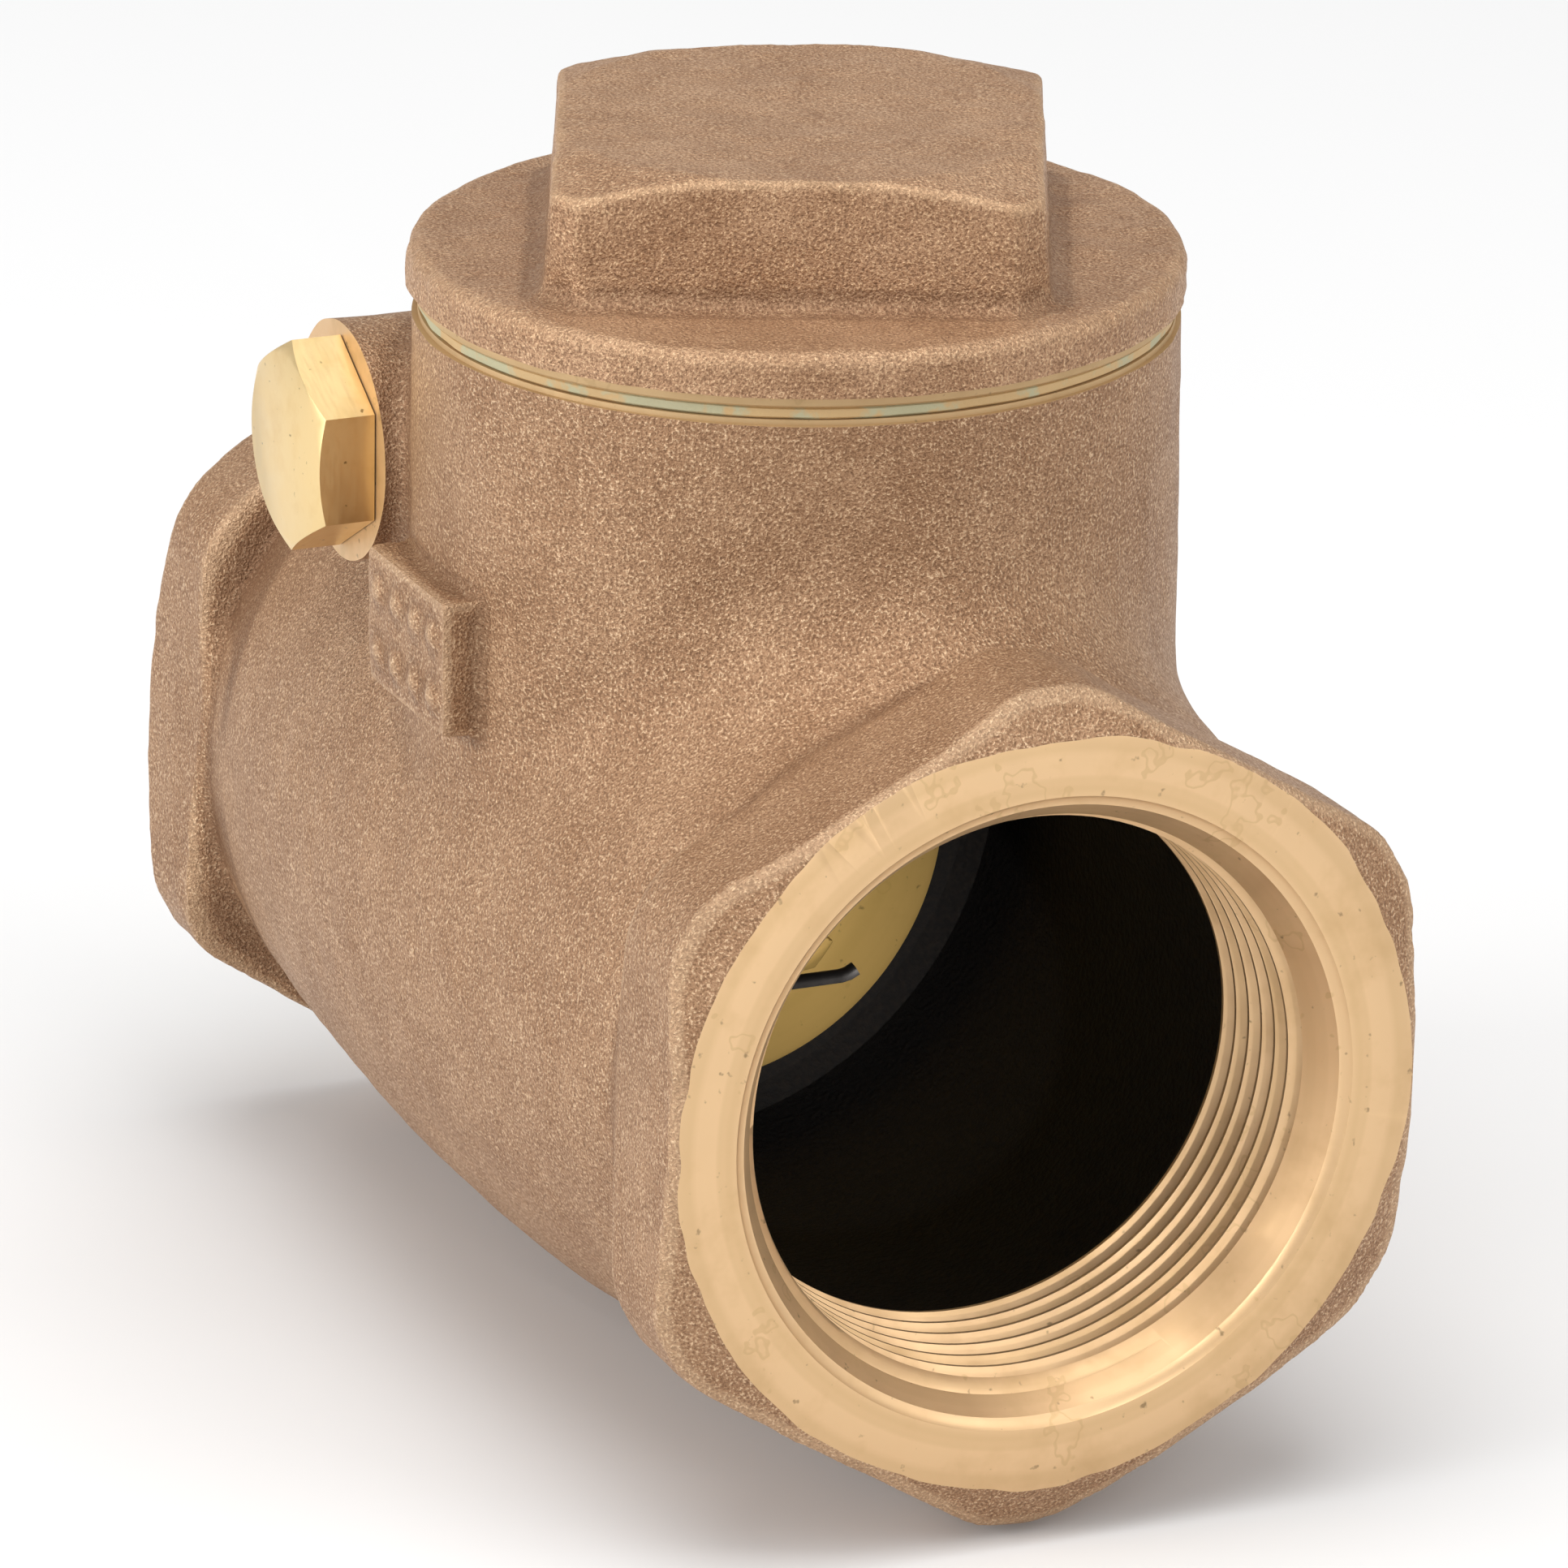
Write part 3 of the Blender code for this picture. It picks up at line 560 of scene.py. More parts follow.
def machined_bronze(name, colour, stain, axis, offset=(0.0, 0.0), roughness=0.36, metallic=0.85):
    """Turned bronze: fine rings, faint stains and small dark pits."""
    nodes = Nodes(name, colour, roughness, metallic)
    rings = nodes.round_marks(axis, 0.30, offset)
    wide = nodes.round_marks(axis, 2.2, offset)
    cloud = nodes.noise(7.0, 4.0, roughness=0.65)
    pits = nodes.noise(0.9, 2.0)
    base = nodes.blend(nodes.span(cloud, 0.50, 0.78, 0.0, 0.55), colour, stain)
    base = nodes.blend(nodes.span(wide, 0.48, 0.66, 0.0, 0.40), base, stain)
    blot = nodes.noise(6.0, 3.0, roughness=0.6)
    outline = nodes.blend(nodes.span(blot, 0.635, 0.642, 0.0, 0.45), base, stain)
    base = nodes.blend(nodes.span(blot, 0.655, 0.665), outline, base)
    base = nodes.blend(nodes.span(pits, 0.30, 0.22, 0.0, 0.7), base, tuple(0.35 * part for part in stain))
    nodes.colour(base)
    nodes.roughness(nodes.span(cloud, 0.3, 0.7, roughness - 0.05, roughness + 0.12))
    nodes.bump((wide, 0.012), (rings, 0.005))
    return nodes.material


def shaded_cavity_bronze(name):
    """The cored inside of the casting, painted near black as shade."""
    nodes = Nodes(name, (0.02, 0.013, 0.008), 0.85, 0.1)
    grain = nodes.noise(0.5, 3.0)
    nodes.colour(nodes.blend(nodes.span(grain, 0.4, 0.7), (0.004, 0.002, 0.001), (0.012, 0.007, 0.003)))
    nodes.bump((grain, 0.2))
    return nodes.material


def scratched_metal(name, colour, stain, roughness, metallic, drift=(1.0, 6.0, 1.0)):
    """Milled or polished metal with faint cloudy stains and short scratches along one direction."""
    nodes = Nodes(name, colour, roughness, metallic)
    cloud = nodes.noise(4.0, 4.0, roughness=0.6)
    lines = nodes.noise(1.6, 2.0, nodes.stretched(*drift))
    specks = nodes.noise(0.7, 1.0)
    base = nodes.blend(nodes.span(cloud, 0.50, 0.80, 0.0, 0.45), colour, stain)
    base = nodes.blend(nodes.span(specks, 0.26, 0.20, 0.0, 0.8), base, tuple(0.3 * part for part in stain))
    nodes.colour(base)
    nodes.roughness(nodes.span(lines, 0.35, 0.65, roughness - 0.02, roughness + 0.05))
    nodes.bump((cloud, 0.003), (lines, 0.001))
    return nodes.material


def dull_layer(name, colour, other, roughness, size_mm):
    """A soft or set material with no metal in it, such as joint compound or a polymer ring."""
    nodes = Nodes(name, colour, roughness, 0.0)
    cloud = nodes.noise(size_mm, 4.0, roughness=0.6)
    grain = nodes.noise(0.3, 2.0)
    nodes.colour(nodes.blend(nodes.span(cloud, 0.47, 0.53), colour, other))
    nodes.roughness(nodes.span(cloud, 0.3, 0.7, roughness - 0.1, roughness + 0.1))
    nodes.bump((cloud, 0.08), (grain, 0.04))
    return nodes.material


# In each cast bronze the last colour is a painted highlight on edges and painted glints on the grain; the
# one before it also paints shade in folds.
CAST = cast_bronze(
    "cast_bronze", (0.43, 0.255, 0.142), (0.35, 0.195, 0.102), (0.15, 0.070, 0.032), (0.80, 0.57, 0.36))
CAP_CAST = cast_bronze(
    "cap_cast_bronze", (0.51, 0.308, 0.178), (0.40, 0.224, 0.120), (0.14, 0.065, 0.030), (0.80, 0.55, 0.33))
INNER_CAST = cast_bronze(
    "olive_cast_bronze", (0.30, 0.21, 0.09), (0.20, 0.13, 0.05), (0.07, 0.045, 0.02), (0.45, 0.33, 0.15))
# painted shade: a near black colour on every cored surface inside the casting and the cap
CAVITY_SHADE = shaded_cavity_bronze("cored_cavity_painted_shade")
TURNED_X = machined_bronze(
    "turned_bronze_flow", (0.71, 0.48, 0.265), (0.52, 0.34, 0.16), "X", roughness=0.42, metallic=0.75)
TURNED_Z = machined_bronze("turned_bronze_neck", (0.82, 0.58, 0.30), (0.50, 0.32, 0.13), "Z")
DULL_TURNED = machined_bronze(
    "dull_turned_bronze", (0.56, 0.385, 0.20), (0.42, 0.28, 0.13), "Z", roughness=0.55, metallic=0.5)
PLUG_BRASS = scratched_metal("plug_brass", (0.85, 0.63, 0.31), (0.66, 0.40, 0.12), 0.32, 0.95)
DISC_BRASS = machined_bronze(
    "disc_brass", (0.66, 0.42, 0.125), (0.54, 0.34, 0.09), "X", (0.0, DISC_Z * MM), 0.42, 0.35)
PIN_STEEL = scratched_metal("pin_steel", (0.50, 0.50, 0.49), (0.30, 0.28, 0.25), 0.3, 1.0)
DARK_STEEL = scratched_metal("black_oxide_steel", (0.035, 0.032, 0.030), (0.015, 0.012, 0.010), 0.35, 0.8)
SEALANT = dull_layer("joint_sealant", (0.55, 0.37, 0.17), (0.45, 0.42, 0.26), 0.6, 5.0)
POLYMER = dull_layer("seat_polymer", (0.80, 0.79, 0.74), (0.70, 0.68, 0.62), 0.45, 3.0)


# -------- casting

def hexagon_radius(angle, flats, turn, corners):
    """Radius of a hexagon with flats across, a flat on each Y side and its corners rounded off."""
    sector = math.pi / 3
    offset = np.mod(angle - turn + sector / 2, sector) - sector / 2
    return soft_min(flats / 2 / np.cos(offset), corners + 0 * angle, 0.9)


def run_radius(x, angle):
    """Radius of the casting about the flow axis: a barrel belly with a hexagon collar at each end."""
    belly = BELLY_RADIUS - BELLY_BEND * (x - BELLY_MIDDLE) ** 2
    radius = belly + 0 * angle
    for collar in (INLET_COLLAR, OUTLET_COLLAR):
        depth = (x - collar.face) * collar.inward
        hexagon = hexagon_radius(angle, collar.flats, math.radians(collar.turn), collar.corners)
        hexagon = hexagon - collar.drop * np.sin(angle)
        limit = FACE_RADIUS + collar.chamfer * np.maximum(depth, -1.0)
        outline = soft_min(hexagon, limit + 0 * angle, 0.5)
        width = COLLAR_WIDTH + collar.waver * (0.6 * np.sin(5 * angle + 1.0) + 0.5 * np.sin(13 * angle))
        share = smooth_step((width + 0.35 * collar.shoulder - depth) / collar.shoulder)
        radius = radius + (outline - radius) * share
    return radius


def casting(x, y, z):
    """Distance field of the body casting before it is machined."""
    across = np.sqrt(y * y + z * z)
    upright = np.sqrt(x * x + y * y)
    run = across - run_radius(x, np.arctan2(z, -y))
    run = soft_max(run, slab(x, INLET_X - 1.5, OUTLET_X + 1.5), 0.5)
    neck_radius = NECK_RADIUS + NECK_DRAFT * (NECK_TOP - z)
    neck = soft_max(upright - neck_radius, slab(z, 0.0, NECK_TOP + 1.5), 0.5)
    alike = y * y / np.maximum(across * upright, 1.0)
    whole = soft_min(run, neck, 0.6 + NECK_FILLET * np.clip(1 - alike, 0, 1) ** 1.5)
    pin_line = np.sqrt((x - PIN_X) ** 2 + (z - PIN_Z) ** 2)
    boss = soft_max(pin_line - BOSS_RADIUS, slab(y, BOSS_FACE_Y - 1.0, -10.0), 0.5)
    blind = soft_max(pin_line - BLIND_BOSS_RADIUS, slab(y, 10.0, BLIND_BOSS_Y), 1.4)
    whole = soft_min(whole, boss, 2.5)
    whole = soft_min(whole, blind, 2.5)
    pad = rounded_box(
        x - PAD_MIDDLE[0], y - (PAD_FACE_Y + 6.0), z - PAD_MIDDLE[1], (PAD_HALF[0], 6.0, PAD_HALF[1]), 0.6)
    whole = soft_min(whole, pad, 0.8)
    for column in range(4):
        for row in (-1, 1):
            across = x - PAD_MIDDLE[0] - DOT_SPACING[0] * (column - 1.5)
            above = z - PAD_MIDDLE[1] - DOT_SPACING[1] * row / 2
            dome = np.sqrt(across ** 2 + above ** 2 + (y - PAD_FACE_Y - DOT_SINK) ** 2) - DOT_RADIUS
            whole = soft_min(whole, dome, 0.4)
    return whole


def pipe_crest(distance_from_face):
    """Radius of the taper thread's crests."""
    return THREAD_CREST - THREAD_TAPER * (distance_from_face - COUNTERSINK)


def passage():
    """Everything machined or cored along the flow axis, with both end faces, as one cutter."""
    far = 60.0
    thread_end = pipe_crest(THREAD_LENGTH)
    cut, core = 1, 2
    inlet = [
        (INLET_X - CUT_REACH, 0.0, cut),
        (INLET_X - CUT_REACH, far, cut),
        (INLET_X, far, cut),
        (INLET_X, FACE_BORE + 0.35, cut),
        (INLET_X + 0.4, FACE_BORE, cut),
        (INLET_X + 0.6, FACE_BORE - 0.5, cut),
        (INLET_X + COUNTERSINK, THREAD_CREST, cut),
        (INLET_X + THREAD_LENGTH, thread_end, cut),
        (INLET_X + THREAD_LENGTH, INLET_CAVITY - 1.0, core),
        (INLET_X + THREAD_LENGTH + 2, INLET_CAVITY, core),
        (SEAT_X - 8.5, INLET_CAVITY, core),
        (SEAT_X - 6.6, INLET_CAVITY - 0.8, core),
        (SEAT_X - 6.0, INLET_CAVITY - 2.6, core),
        (SEAT_X - 6.0, SEAT_BORE + 0.6, core),
        (SEAT_X - 5.4, SEAT_BORE, cut),
        (SEAT_X - 0.3, SEAT_BORE, cut),
        (SEAT_X, SEAT_BORE + 0.3, cut),
        (SEAT_X, SEAT_RADIUS - 0.3, cut),
        (SEAT_X - 0.3, SEAT_RADIUS, cut),
        (SEAT_X - 2.0, SEAT_RADIUS, cut),
    ]
    outlet = [
        (SEAT_X - 2.0, CHAMBER_RADIUS - 1.5, core),
        (SEAT_X - 0.5, CHAMBER_RADIUS, core),
        (OUTLET_X - 26.5, CHAMBER_RADIUS, core),
        (OUTLET_X - 23.5, CHAMBER_RADIUS - 1.2, core),
        (OUTLET_X - 20.5, RELIEF_RADIUS + 0.8, core),
        (OUTLET_X - THREAD_LENGTH - 2.0, RELIEF_RADIUS, core),
        (OUTLET_X - THREAD_LENGTH, RELIEF_RADIUS, core),
        (OUTLET_X - THREAD_LENGTH, thread_end, cut),
        (OUTLET_X - COUNTERSINK, THREAD_CREST, cut),
        (OUTLET_X - 0.6, FACE_BORE - 0.5, cut),
        (OUTLET_X - 0.4, FACE_BORE, cut),
        (OUTLET_X, FACE_BORE + 0.35, cut),
        (OUTLET_X, far, cut),
        (OUTLET_X + CUT_REACH, far, cut),
        (OUTLET_X + CUT_REACH, 0.0, cut),
    ]
    return lathe("passage", inlet + outlet, AXIS_X, 160)


def neck_opening():
    """The neck's top face with its bore, undercut and lower bore."""
    cut, core = 3, 2
    return lathe("neck_opening", [
        (0.0, 0.0, core),
        (0.0, NECK_BORE, core),
        (24.0, NECK_BORE, core),
        (25.0, NECK_UNDERCUT, core),
        (40.0, NECK_UNDERCUT, core),
        (41.0, NECK_CREST, cut),
        (NECK_TOP - 1.2, NECK_CREST, cut),
        (NECK_TOP, CAP_THREAD + 0.6, cut),
        (NECK_TOP, NECK_RADIUS - 0.4, cut),
        (NECK_TOP - 0.4, NECK_RADIUS - 0.35, cut),
        (NECK_TOP - 0.5, 45.0, cut),
        (NECK_TOP + CUT_REACH, 45.0, cut),
        (NECK_TOP + CUT_REACH, 0.0, cut),
    ], AXIS_Z, 160)


def pipe_thread(name, face, inward):
    """The taper thread that a tap cuts in one end."""
    far = face + inward * (THREAD_LENGTH + THREAD_PITCH)
    near = face + inward * (COUNTERSINK - 2 * THREAD_PITCH)
    return thread(
        name, min(far, near), max(far, near), THREAD_PITCH,
        lambda x: THREAD_DEPTH * smooth_step((abs(x - face) - THREAD_START) / THREAD_PITCH),
        lambda x: pipe_crest(abs(x - face)), AXIS_X)


def pin_opening():
    """The spot face round the plug, the plug's hole and the pin's hole, seen from the -Y side."""
    cut = 1
    return lathe("pin_opening", [
        (BOSS_FACE_Y - 8.0, 0.0, cut),
        (BOSS_FACE_Y - 8.0, SPOT_RADIUS, cut),
        (BOSS_FACE_Y, SPOT_RADIUS, cut),
        (BOSS_FACE_Y, PLUG_HOLE + 0.4, cut),
        (BOSS_FACE_Y + 0.4, PLUG_HOLE, cut),
        (BOSS_FACE_Y + 6.1, PLUG_HOLE, cut),
        (BOSS_FACE_Y + 6.6, PIN_HOLE, cut),
        (PIN_HIGH[1] + 0.3, PIN_HOLE, cut),
        (PIN_HIGH[1] + 1.0, 0.0, cut),
    ], PIN_AXIS, 64)


def inner_boss(name, start, end):
    """A cored boss round the pin inside the neck."""
    core = 2
    return lathe(name, [
        (start, 0.0, core), (start, 5.0, core), (start + 0.4, 5.4, core),
        (end - 0.4, 5.4, core), (end, 5.0, core), (end, 0.0, core)], PIN_AXIS, 48)


def mark_rough_patches(item):
    """Stores where the casting is rough and dark: in uneven patches behind the inlet collar's shoulder."""
    points = vertex_points(item)
    depth = points[:, 0] - INLET_X - COLLAR_WIDTH
    across = np.hypot(points[:, 1], points[:, 2])
    near = smooth_step((depth + 0.8) / 1.6) * smooth_step((7.0 - depth) / 3.0)
    patch = near * smooth_step(0.5 + 1.2 * lumps(points, 7.0, 41)) * (across > 26.0)
    store_values(item, "rough_patch", patch)


def mark_folds(item, field):
    """Stores how sharply the cast surface bends at each vertex: edges above 0, folds below."""
    points = vertex_points(item)
    reach = 0.8
    bend = -6 * field(*points.T)
    for axis in range(3):
        step = np.zeros(3)
        step[axis] = reach
        bend += field(*(points + step).T) + field(*(points - step).T)
    store_values(item, "fold", np.clip(bend / reach ** 2, -1, 1))


def make_casting():
    """The body: its cast skin with everything that is machined into it."""
    low = (INLET_X - CUT_REACH, -36.5, -37.5)
    high = (OUTLET_X + CUT_REACH, 37.5, NECK_TOP + CUT_REACH)
    body = skin("valve_casting", casting, low, high, CAST_STEP, CAST_LUMPS)
    carve(body, passage())
    carve(body, neck_opening())
    carve(body, pipe_thread("outlet_thread", OUTLET_X, -1))
    carve(body, pipe_thread("inlet_thread", INLET_X, 1))
    carve(body, thread(
        "neck_thread", CAP_THREAD_START, NECK_TOP + 2.5, CAP_PITCH, lambda z: CAP_THREAD_DEPTH,
        lambda z: NECK_CREST, AXIS_Z))
    carve(body, inner_boss("plug_side_boss", -18.5, -7.0), "UNION")
    carve(body, inner_boss("blind_side_boss", 7.0, 18.5), "UNION")
    carve(body, pin_opening())
    mark_folds(body, casting)
    mark_rough_patches(body)
    finish_piece(body, ["body"], "valve_body", [CAST, TURNED_X, CAVITY_SHADE, DULL_TURNED])
    return body


# -------- cap and its seal

CAP_FLANGE_BOTTOM = SEAL_HIGH[2] + 0.3
CAP_FLANGE_TOP = 54.3
CAP_RADIUS = CAP_HIGH[0]
CAP_STEP = 0.45
CAP_LUMPS = ((9.0, 0.14, 21), (3.4, 0.14, 4), (1.3, 0.07, 9))
CAP_HOLLOW = 21.2
TURNED_EDGE = 0.8               # height of the turned band at the flange's lower edge
HEAD_FLATS = 38.4
HEAD_CORNERS = 25.15
HEAD_DRAFT = 0.05
HEAD_TURN = math.radians(67)
HEAD_TOP = CAP_HIGH[2]
CROWN_SLOPE = 0.29


def cap_casting(x, y, z):
    """Distance field of the cap's cast top: a round flange with a crowned square head."""
    upright = np.sqrt(x * x + y * y)
    flange = soft_max(upright - CAP_RADIUS + 0.05, slab(z, CAP_FLANGE_BOTTOM - 1.5, CAP_FLANGE_TOP), 1.4)
    cos, sin = math.cos(HEAD_TURN), math.sin(HEAD_TURN)
    along = x * cos + y * sin
    aside = -x * sin + y * cos
    square = polygon(along, aside, 4, HEAD_FLATS / 2, 0.0, 0.3) + HEAD_DRAFT * (z - CAP_FLANGE_TOP)
    corners = np.maximum(np.abs(along + aside), np.abs(along - aside)) / math.sqrt(2) - HEAD_CORNERS
    head = soft_max(square, corners, 0.5)
    fall = CROWN_SLOPE * np.maximum(upright - HEAD_FLATS / 2, 0)
    crown = (z - HEAD_TOP + fall) / math.sqrt(1 + CROWN_SLOPE ** 2)
    head = soft_max(head, crown, 0.5)
    head = soft_max(head, CAP_FLANGE_BOTTOM - z, 0.2)
    return soft_min(flange, head, 1.6)


def cap_spigot():
    """The threaded spigot under the flange, as one turned piece to join to the cast top."""
    cut = 1
    body = thread(
        "spigot_thread", CAP_THREAD_START, CAP_FLANGE_TOP + 0.2, CAP_PITCH, lambda z: CAP_THREAD_DEPTH,
        lambda z: CAP_THREAD - CAP_THREAD_DEPTH, AXIS_Z)
    limit = lathe("spigot_limit", [
        (CAP_LOW[2], 0.0, cut),
        (CAP_LOW[2], CAP_THREAD - CAP_THREAD_DEPTH - 0.2, cut),
        (CAP_LOW[2] + 1.2, CAP_THREAD + 0.2, cut),
        (CAP_FLANGE_BOTTOM - 1.6, CAP_THREAD + 0.2, cut),
        (CAP_FLANGE_BOTTOM - 1.0, CAP_THREAD - 1.2, cut),
        (CAP_FLANGE_BOTTOM + 1.0, CAP_THREAD - 1.2, cut),
        (CAP_FLANGE_BOTTOM + 1.0, 0.0, cut),
    ], AXIS_Z, 160)
    carve(body, limit, "INTERSECT")
    return body


def make_cap():
    """The cap: its cast top, turned underneath, with the threaded spigot and a hollow."""
    low = (-32.0, -32.0, CAP_FLANGE_BOTTOM - 3)
    high = (32.0, 32.0, HEAD_TOP + 2)
    cap = skin("bonnet_cap", cap_casting, low, high, CAP_STEP, CAP_LUMPS)
    cut, core, edge = 1, 2, 3
    carve(cap, lathe("flange_face", [
        (CAP_FLANGE_BOTTOM - 6, 0.0, cut),
        (CAP_FLANGE_BOTTOM - 6, 40.0, cut),
        (CAP_FLANGE_BOTTOM + TURNED_EDGE, 40.0, edge),
        (CAP_FLANGE_BOTTOM + TURNED_EDGE, CAP_RADIUS - 0.45, edge),
        (CAP_FLANGE_BOTTOM + 0.15, CAP_RADIUS - 0.5, edge),
        (CAP_FLANGE_BOTTOM, CAP_RADIUS - 0.65, edge),
        (CAP_FLANGE_BOTTOM, 0.0, cut),
    ], AXIS_Z, 160))
    carve(cap, cap_spigot(), "UNION")
    carve(cap, lathe("cap_hollow", [
        (CAP_LOW[2] - 2, 0.0, core),
        (CAP_LOW[2] - 2, CAP_HOLLOW, core),
        (47.5, CAP_HOLLOW, core),
        (49.4, CAP_HOLLOW - 1.0, core),
        (50.5, 18.0, core),
        (50.5, 0.0, core),
    ], AXIS_Z, 96))
    mark_folds(cap, cap_casting)
    finish_piece(cap, ["cap"], "cap", [CAP_CAST, TURNED_Z, CAVITY_SHADE, DULL_TURNED])
    return cap


def make_seal():
    """A bead of set joint compound, squeezed out unevenly between the neck and the flange."""
    low = NECK_TOP + 0.03
    high = CAP_FLANGE_BOTTOM - 0.03
    outer = NECK_RADIUS - 0.25
    seal = lathe("joint_bead", [
        (low, 26.4, 0), (low, outer - 0.25, 0), (low + 0.2, outer, 0),
        (high - 0.2, outer, 0), (high, outer - 0.25, 0), (high, 26.4, 0),
    ], AXIS_Z, 360, ring=True)
    points = vertex_points(seal)
    outside = np.hypot(points[:, 0], points[:, 1]) > outer - 1
    points[outside, :2] *= 1 - 0.012 * (0.5 + 0.5 * lumps(points[outside], 3.0, 12))[:, None]
    seal.data.vertices.foreach_set("co", (points * MM).ravel())
    finish_piece(seal, ["cap_seal"], "cap_ring", [SEALANT])
    return seal


# -------- plug and pin

def make_plug():
    """The hexagon plug in the pin's hole, chamfered outside, with its threaded shank."""
    face = PLUG_LOW[1]
    seat = BOSS_FACE_Y - 0.1
    corner = (PLUG_HIGH[2] - PLUG_LOW[2]) / 2
    flat = corner * math.cos(math.radians(30))
    turned = Matrix.Rotation(math.radians(30), 4, "Z")
    plug = lathe("pin_hole_plug", [
        (face, 0.0, 0), (face, corner, 0), (seat, corner, 0), (seat, 0.0, 0)], PIN_AXIS @ turned, 6)
    carve(plug, lathe("plug_chamfer", [
        (face, 0.0, 0), (face, flat - 0.1, 0), (face + 0.45 * (corner - flat + 0.2), corner + 0.1, 0),
        (seat, corner + 0.1, 0), (seat, 0.0, 0)], PIN_AXIS, 160), "INTERSECT")
    shank = thread(
        "plug_thread", BOSS_FACE_Y - 2.5, PLUG_HIGH[1] + 1.5, 1.0, lambda y: 0.5,
        lambda y: 4.4, PIN_AXIS, 0, 48)
    limit = lathe("plug_limit", [
        (BOSS_FACE_Y - 1.5, 0.0, 0), (BOSS_FACE_Y - 1.5, 4.6, 0), (BOSS_FACE_Y + 0.6, 4.6, 0),
        (BOSS_FACE_Y + 1.0, 5.0, 0), (PLUG_HIGH[1] - 0.6, 5.0, 0), (PLUG_HIGH[1], 4.3, 0),
        (PLUG_HIGH[1], 0.0, 0)], PIN_AXIS, 48)
    carve(shank, limit, "INTERSECT")
    carve(plug, shank, "UNION")
    finish_piece(plug, ["pin_plug"], "plug", [PLUG_BRASS], 28)
    return plug


def make_pin():
    """The plain bar that the hanger swings on, with chamfered ends."""
    tip = 0.5
    radius = (PIN_HIGH[0] - PIN_LOW[0]) / 2
    pin = lathe("swing_pin", [
        (PIN_LOW[1], 0.0, 0), (PIN_LOW[1], radius - tip, 0), (PIN_LOW[1] + tip, radius, 0),
        (PIN_HIGH[1] - tip, radius, 0), (PIN_HIGH[1], radius - tip, 0), (PIN_HIGH[1], 0.0, 0),
    ], PIN_AXIS, 48)
    finish_piece(pin, ["hinge_pin"], "valve_body", [PIN_STEEL])
    return pin


# -------- disc and hanger

def hanger(x, y, z):
    """Distance field of the cast arm: barrel on the pin, cranked arm, eye round the stem."""
    barrel = soft_max(
        np.sqrt((x - PIN_X) ** 2 + (z - PIN_Z) ** 2) - BARREL_RADIUS, np.abs(y) - BARREL_HIGH[1], 0.6)
    eye_line = np.sqrt(y * y + (z - DISC_Z) ** 2)
    eye = soft_max(eye_line - EYE_RADIUS, slab(x, *EYE_X), 0.8)
    upright = np.maximum(np.abs(x - ARM_X), np.abs(z - ARM_MIDDLE_Z) - ARM_HALF_LENGTH) - ARM_HALF_THICKNESS
    from_x = x - ARM_KNEE[0]
    from_z = z - ARM_KNEE[1]
    run = (PIN_X - ARM_KNEE[0], PIN_Z - ARM_KNEE[1])
    share = np.clip((from_x * run[0] + from_z * run[1]) / (run[0] ** 2 + run[1] ** 2), 0, 1)
    slanted = np.sqrt((from_x - share * run[0]) ** 2 + (from_z - share * run[1]) ** 2) - SLANT_HALF_THICKNESS
    arm = soft_max(soft_min(upright, slanted, 2.0), np.abs(y) - ARM_HALF_WIDTH, 1.2)
    return soft_min(soft_min(arm, barrel, 1.2), eye, 1.6)


def make_hanger():
    """The cast hanger, bored for the pin and the disc's stem."""
    low = BARREL_LOW - 2
    high = BARREL_HIGH + 2
    arm = skin("swing_hanger", hanger, low, high, ARM_STEP, ARM_LUMPS)
    bore = 1
    carve(arm, lathe("hanger_bore", [
        (-12.0, 0.0, bore), (-12.0, PIN_HOLE, bore),
        (12.0, PIN_HOLE, bore), (12.0, 0.0, bore)], PIN_AXIS, 48))
    carve(arm, lathe("stem_bore", [
        (-20.0, 0.0, bore), (-20.0, STEM_HOLE, bore),
        (-8.0, STEM_HOLE, bore), (-8.0, 0.0, bore)], DISC_AXIS, 64))
    mark_folds(arm, hanger)
    finish_piece(arm, ["disc_hanger"], "hanger", [INNER_CAST, DISC_BRASS])
    return arm


def make_disc():
    """The disc with its rim, the stud in front and the threaded stem behind."""
    back = DISC_BACK_X
    plate = back - DISC_PLATE
    rim = plate - DISC_RIM
    radius = HOLDER_HIGH[1]
    stem = STEM_RADIUS
    holder = lathe("disc_plate", [
        (HOLDER_LOW[0], 0.0, 0),
        (HOLDER_LOW[0], STUD_RADIUS - 0.5, 0),
        (HOLDER_LOW[0] + 0.5, STUD_RADIUS, 0),
        (plate, STUD_RADIUS, 0),
        (plate, RIM_BORE, 0),
        (rim, RIM_BORE, 0),
        (rim, radius - 0.5, 0),
        (rim + 0.5, radius, 0),
        (back - 1.1, radius, 0),
        (back - 0.35, radius - 0.25, 0),
        (back, radius - 1.0, 0),
        (back, 11.0, 0),
        (back, 9.2, 0),
        (back + 0.25, 8.6, 0),
        (back + 0.25, stem + 0.6, 0),
        (back + 0.5, stem, 0),
        (HOLDER_HIGH[0] - 0.6, stem, 0),
        (HOLDER_HIGH[0], stem - 0.7, 0),
        (HOLDER_HIGH[0], 1.0, 0),
        (HOLDER_HIGH[0] - 0.5, 0.0, 0),
    ], DISC_AXIS, 128)
    hole = Matrix.Translation((COTTER_X, 0.0, DISC_Z))
    carve(holder, lathe("cotter_hole", [
        (-9.0, 0.0, 0), (-9.0, COTTER_HOLE, 0), (9.0, COTTER_HOLE, 0), (9.0, 0.0, 0)], hole, 32))
    finish_piece(holder, ["disc_holder"], "disc", [DISC_BRASS])
    return holder


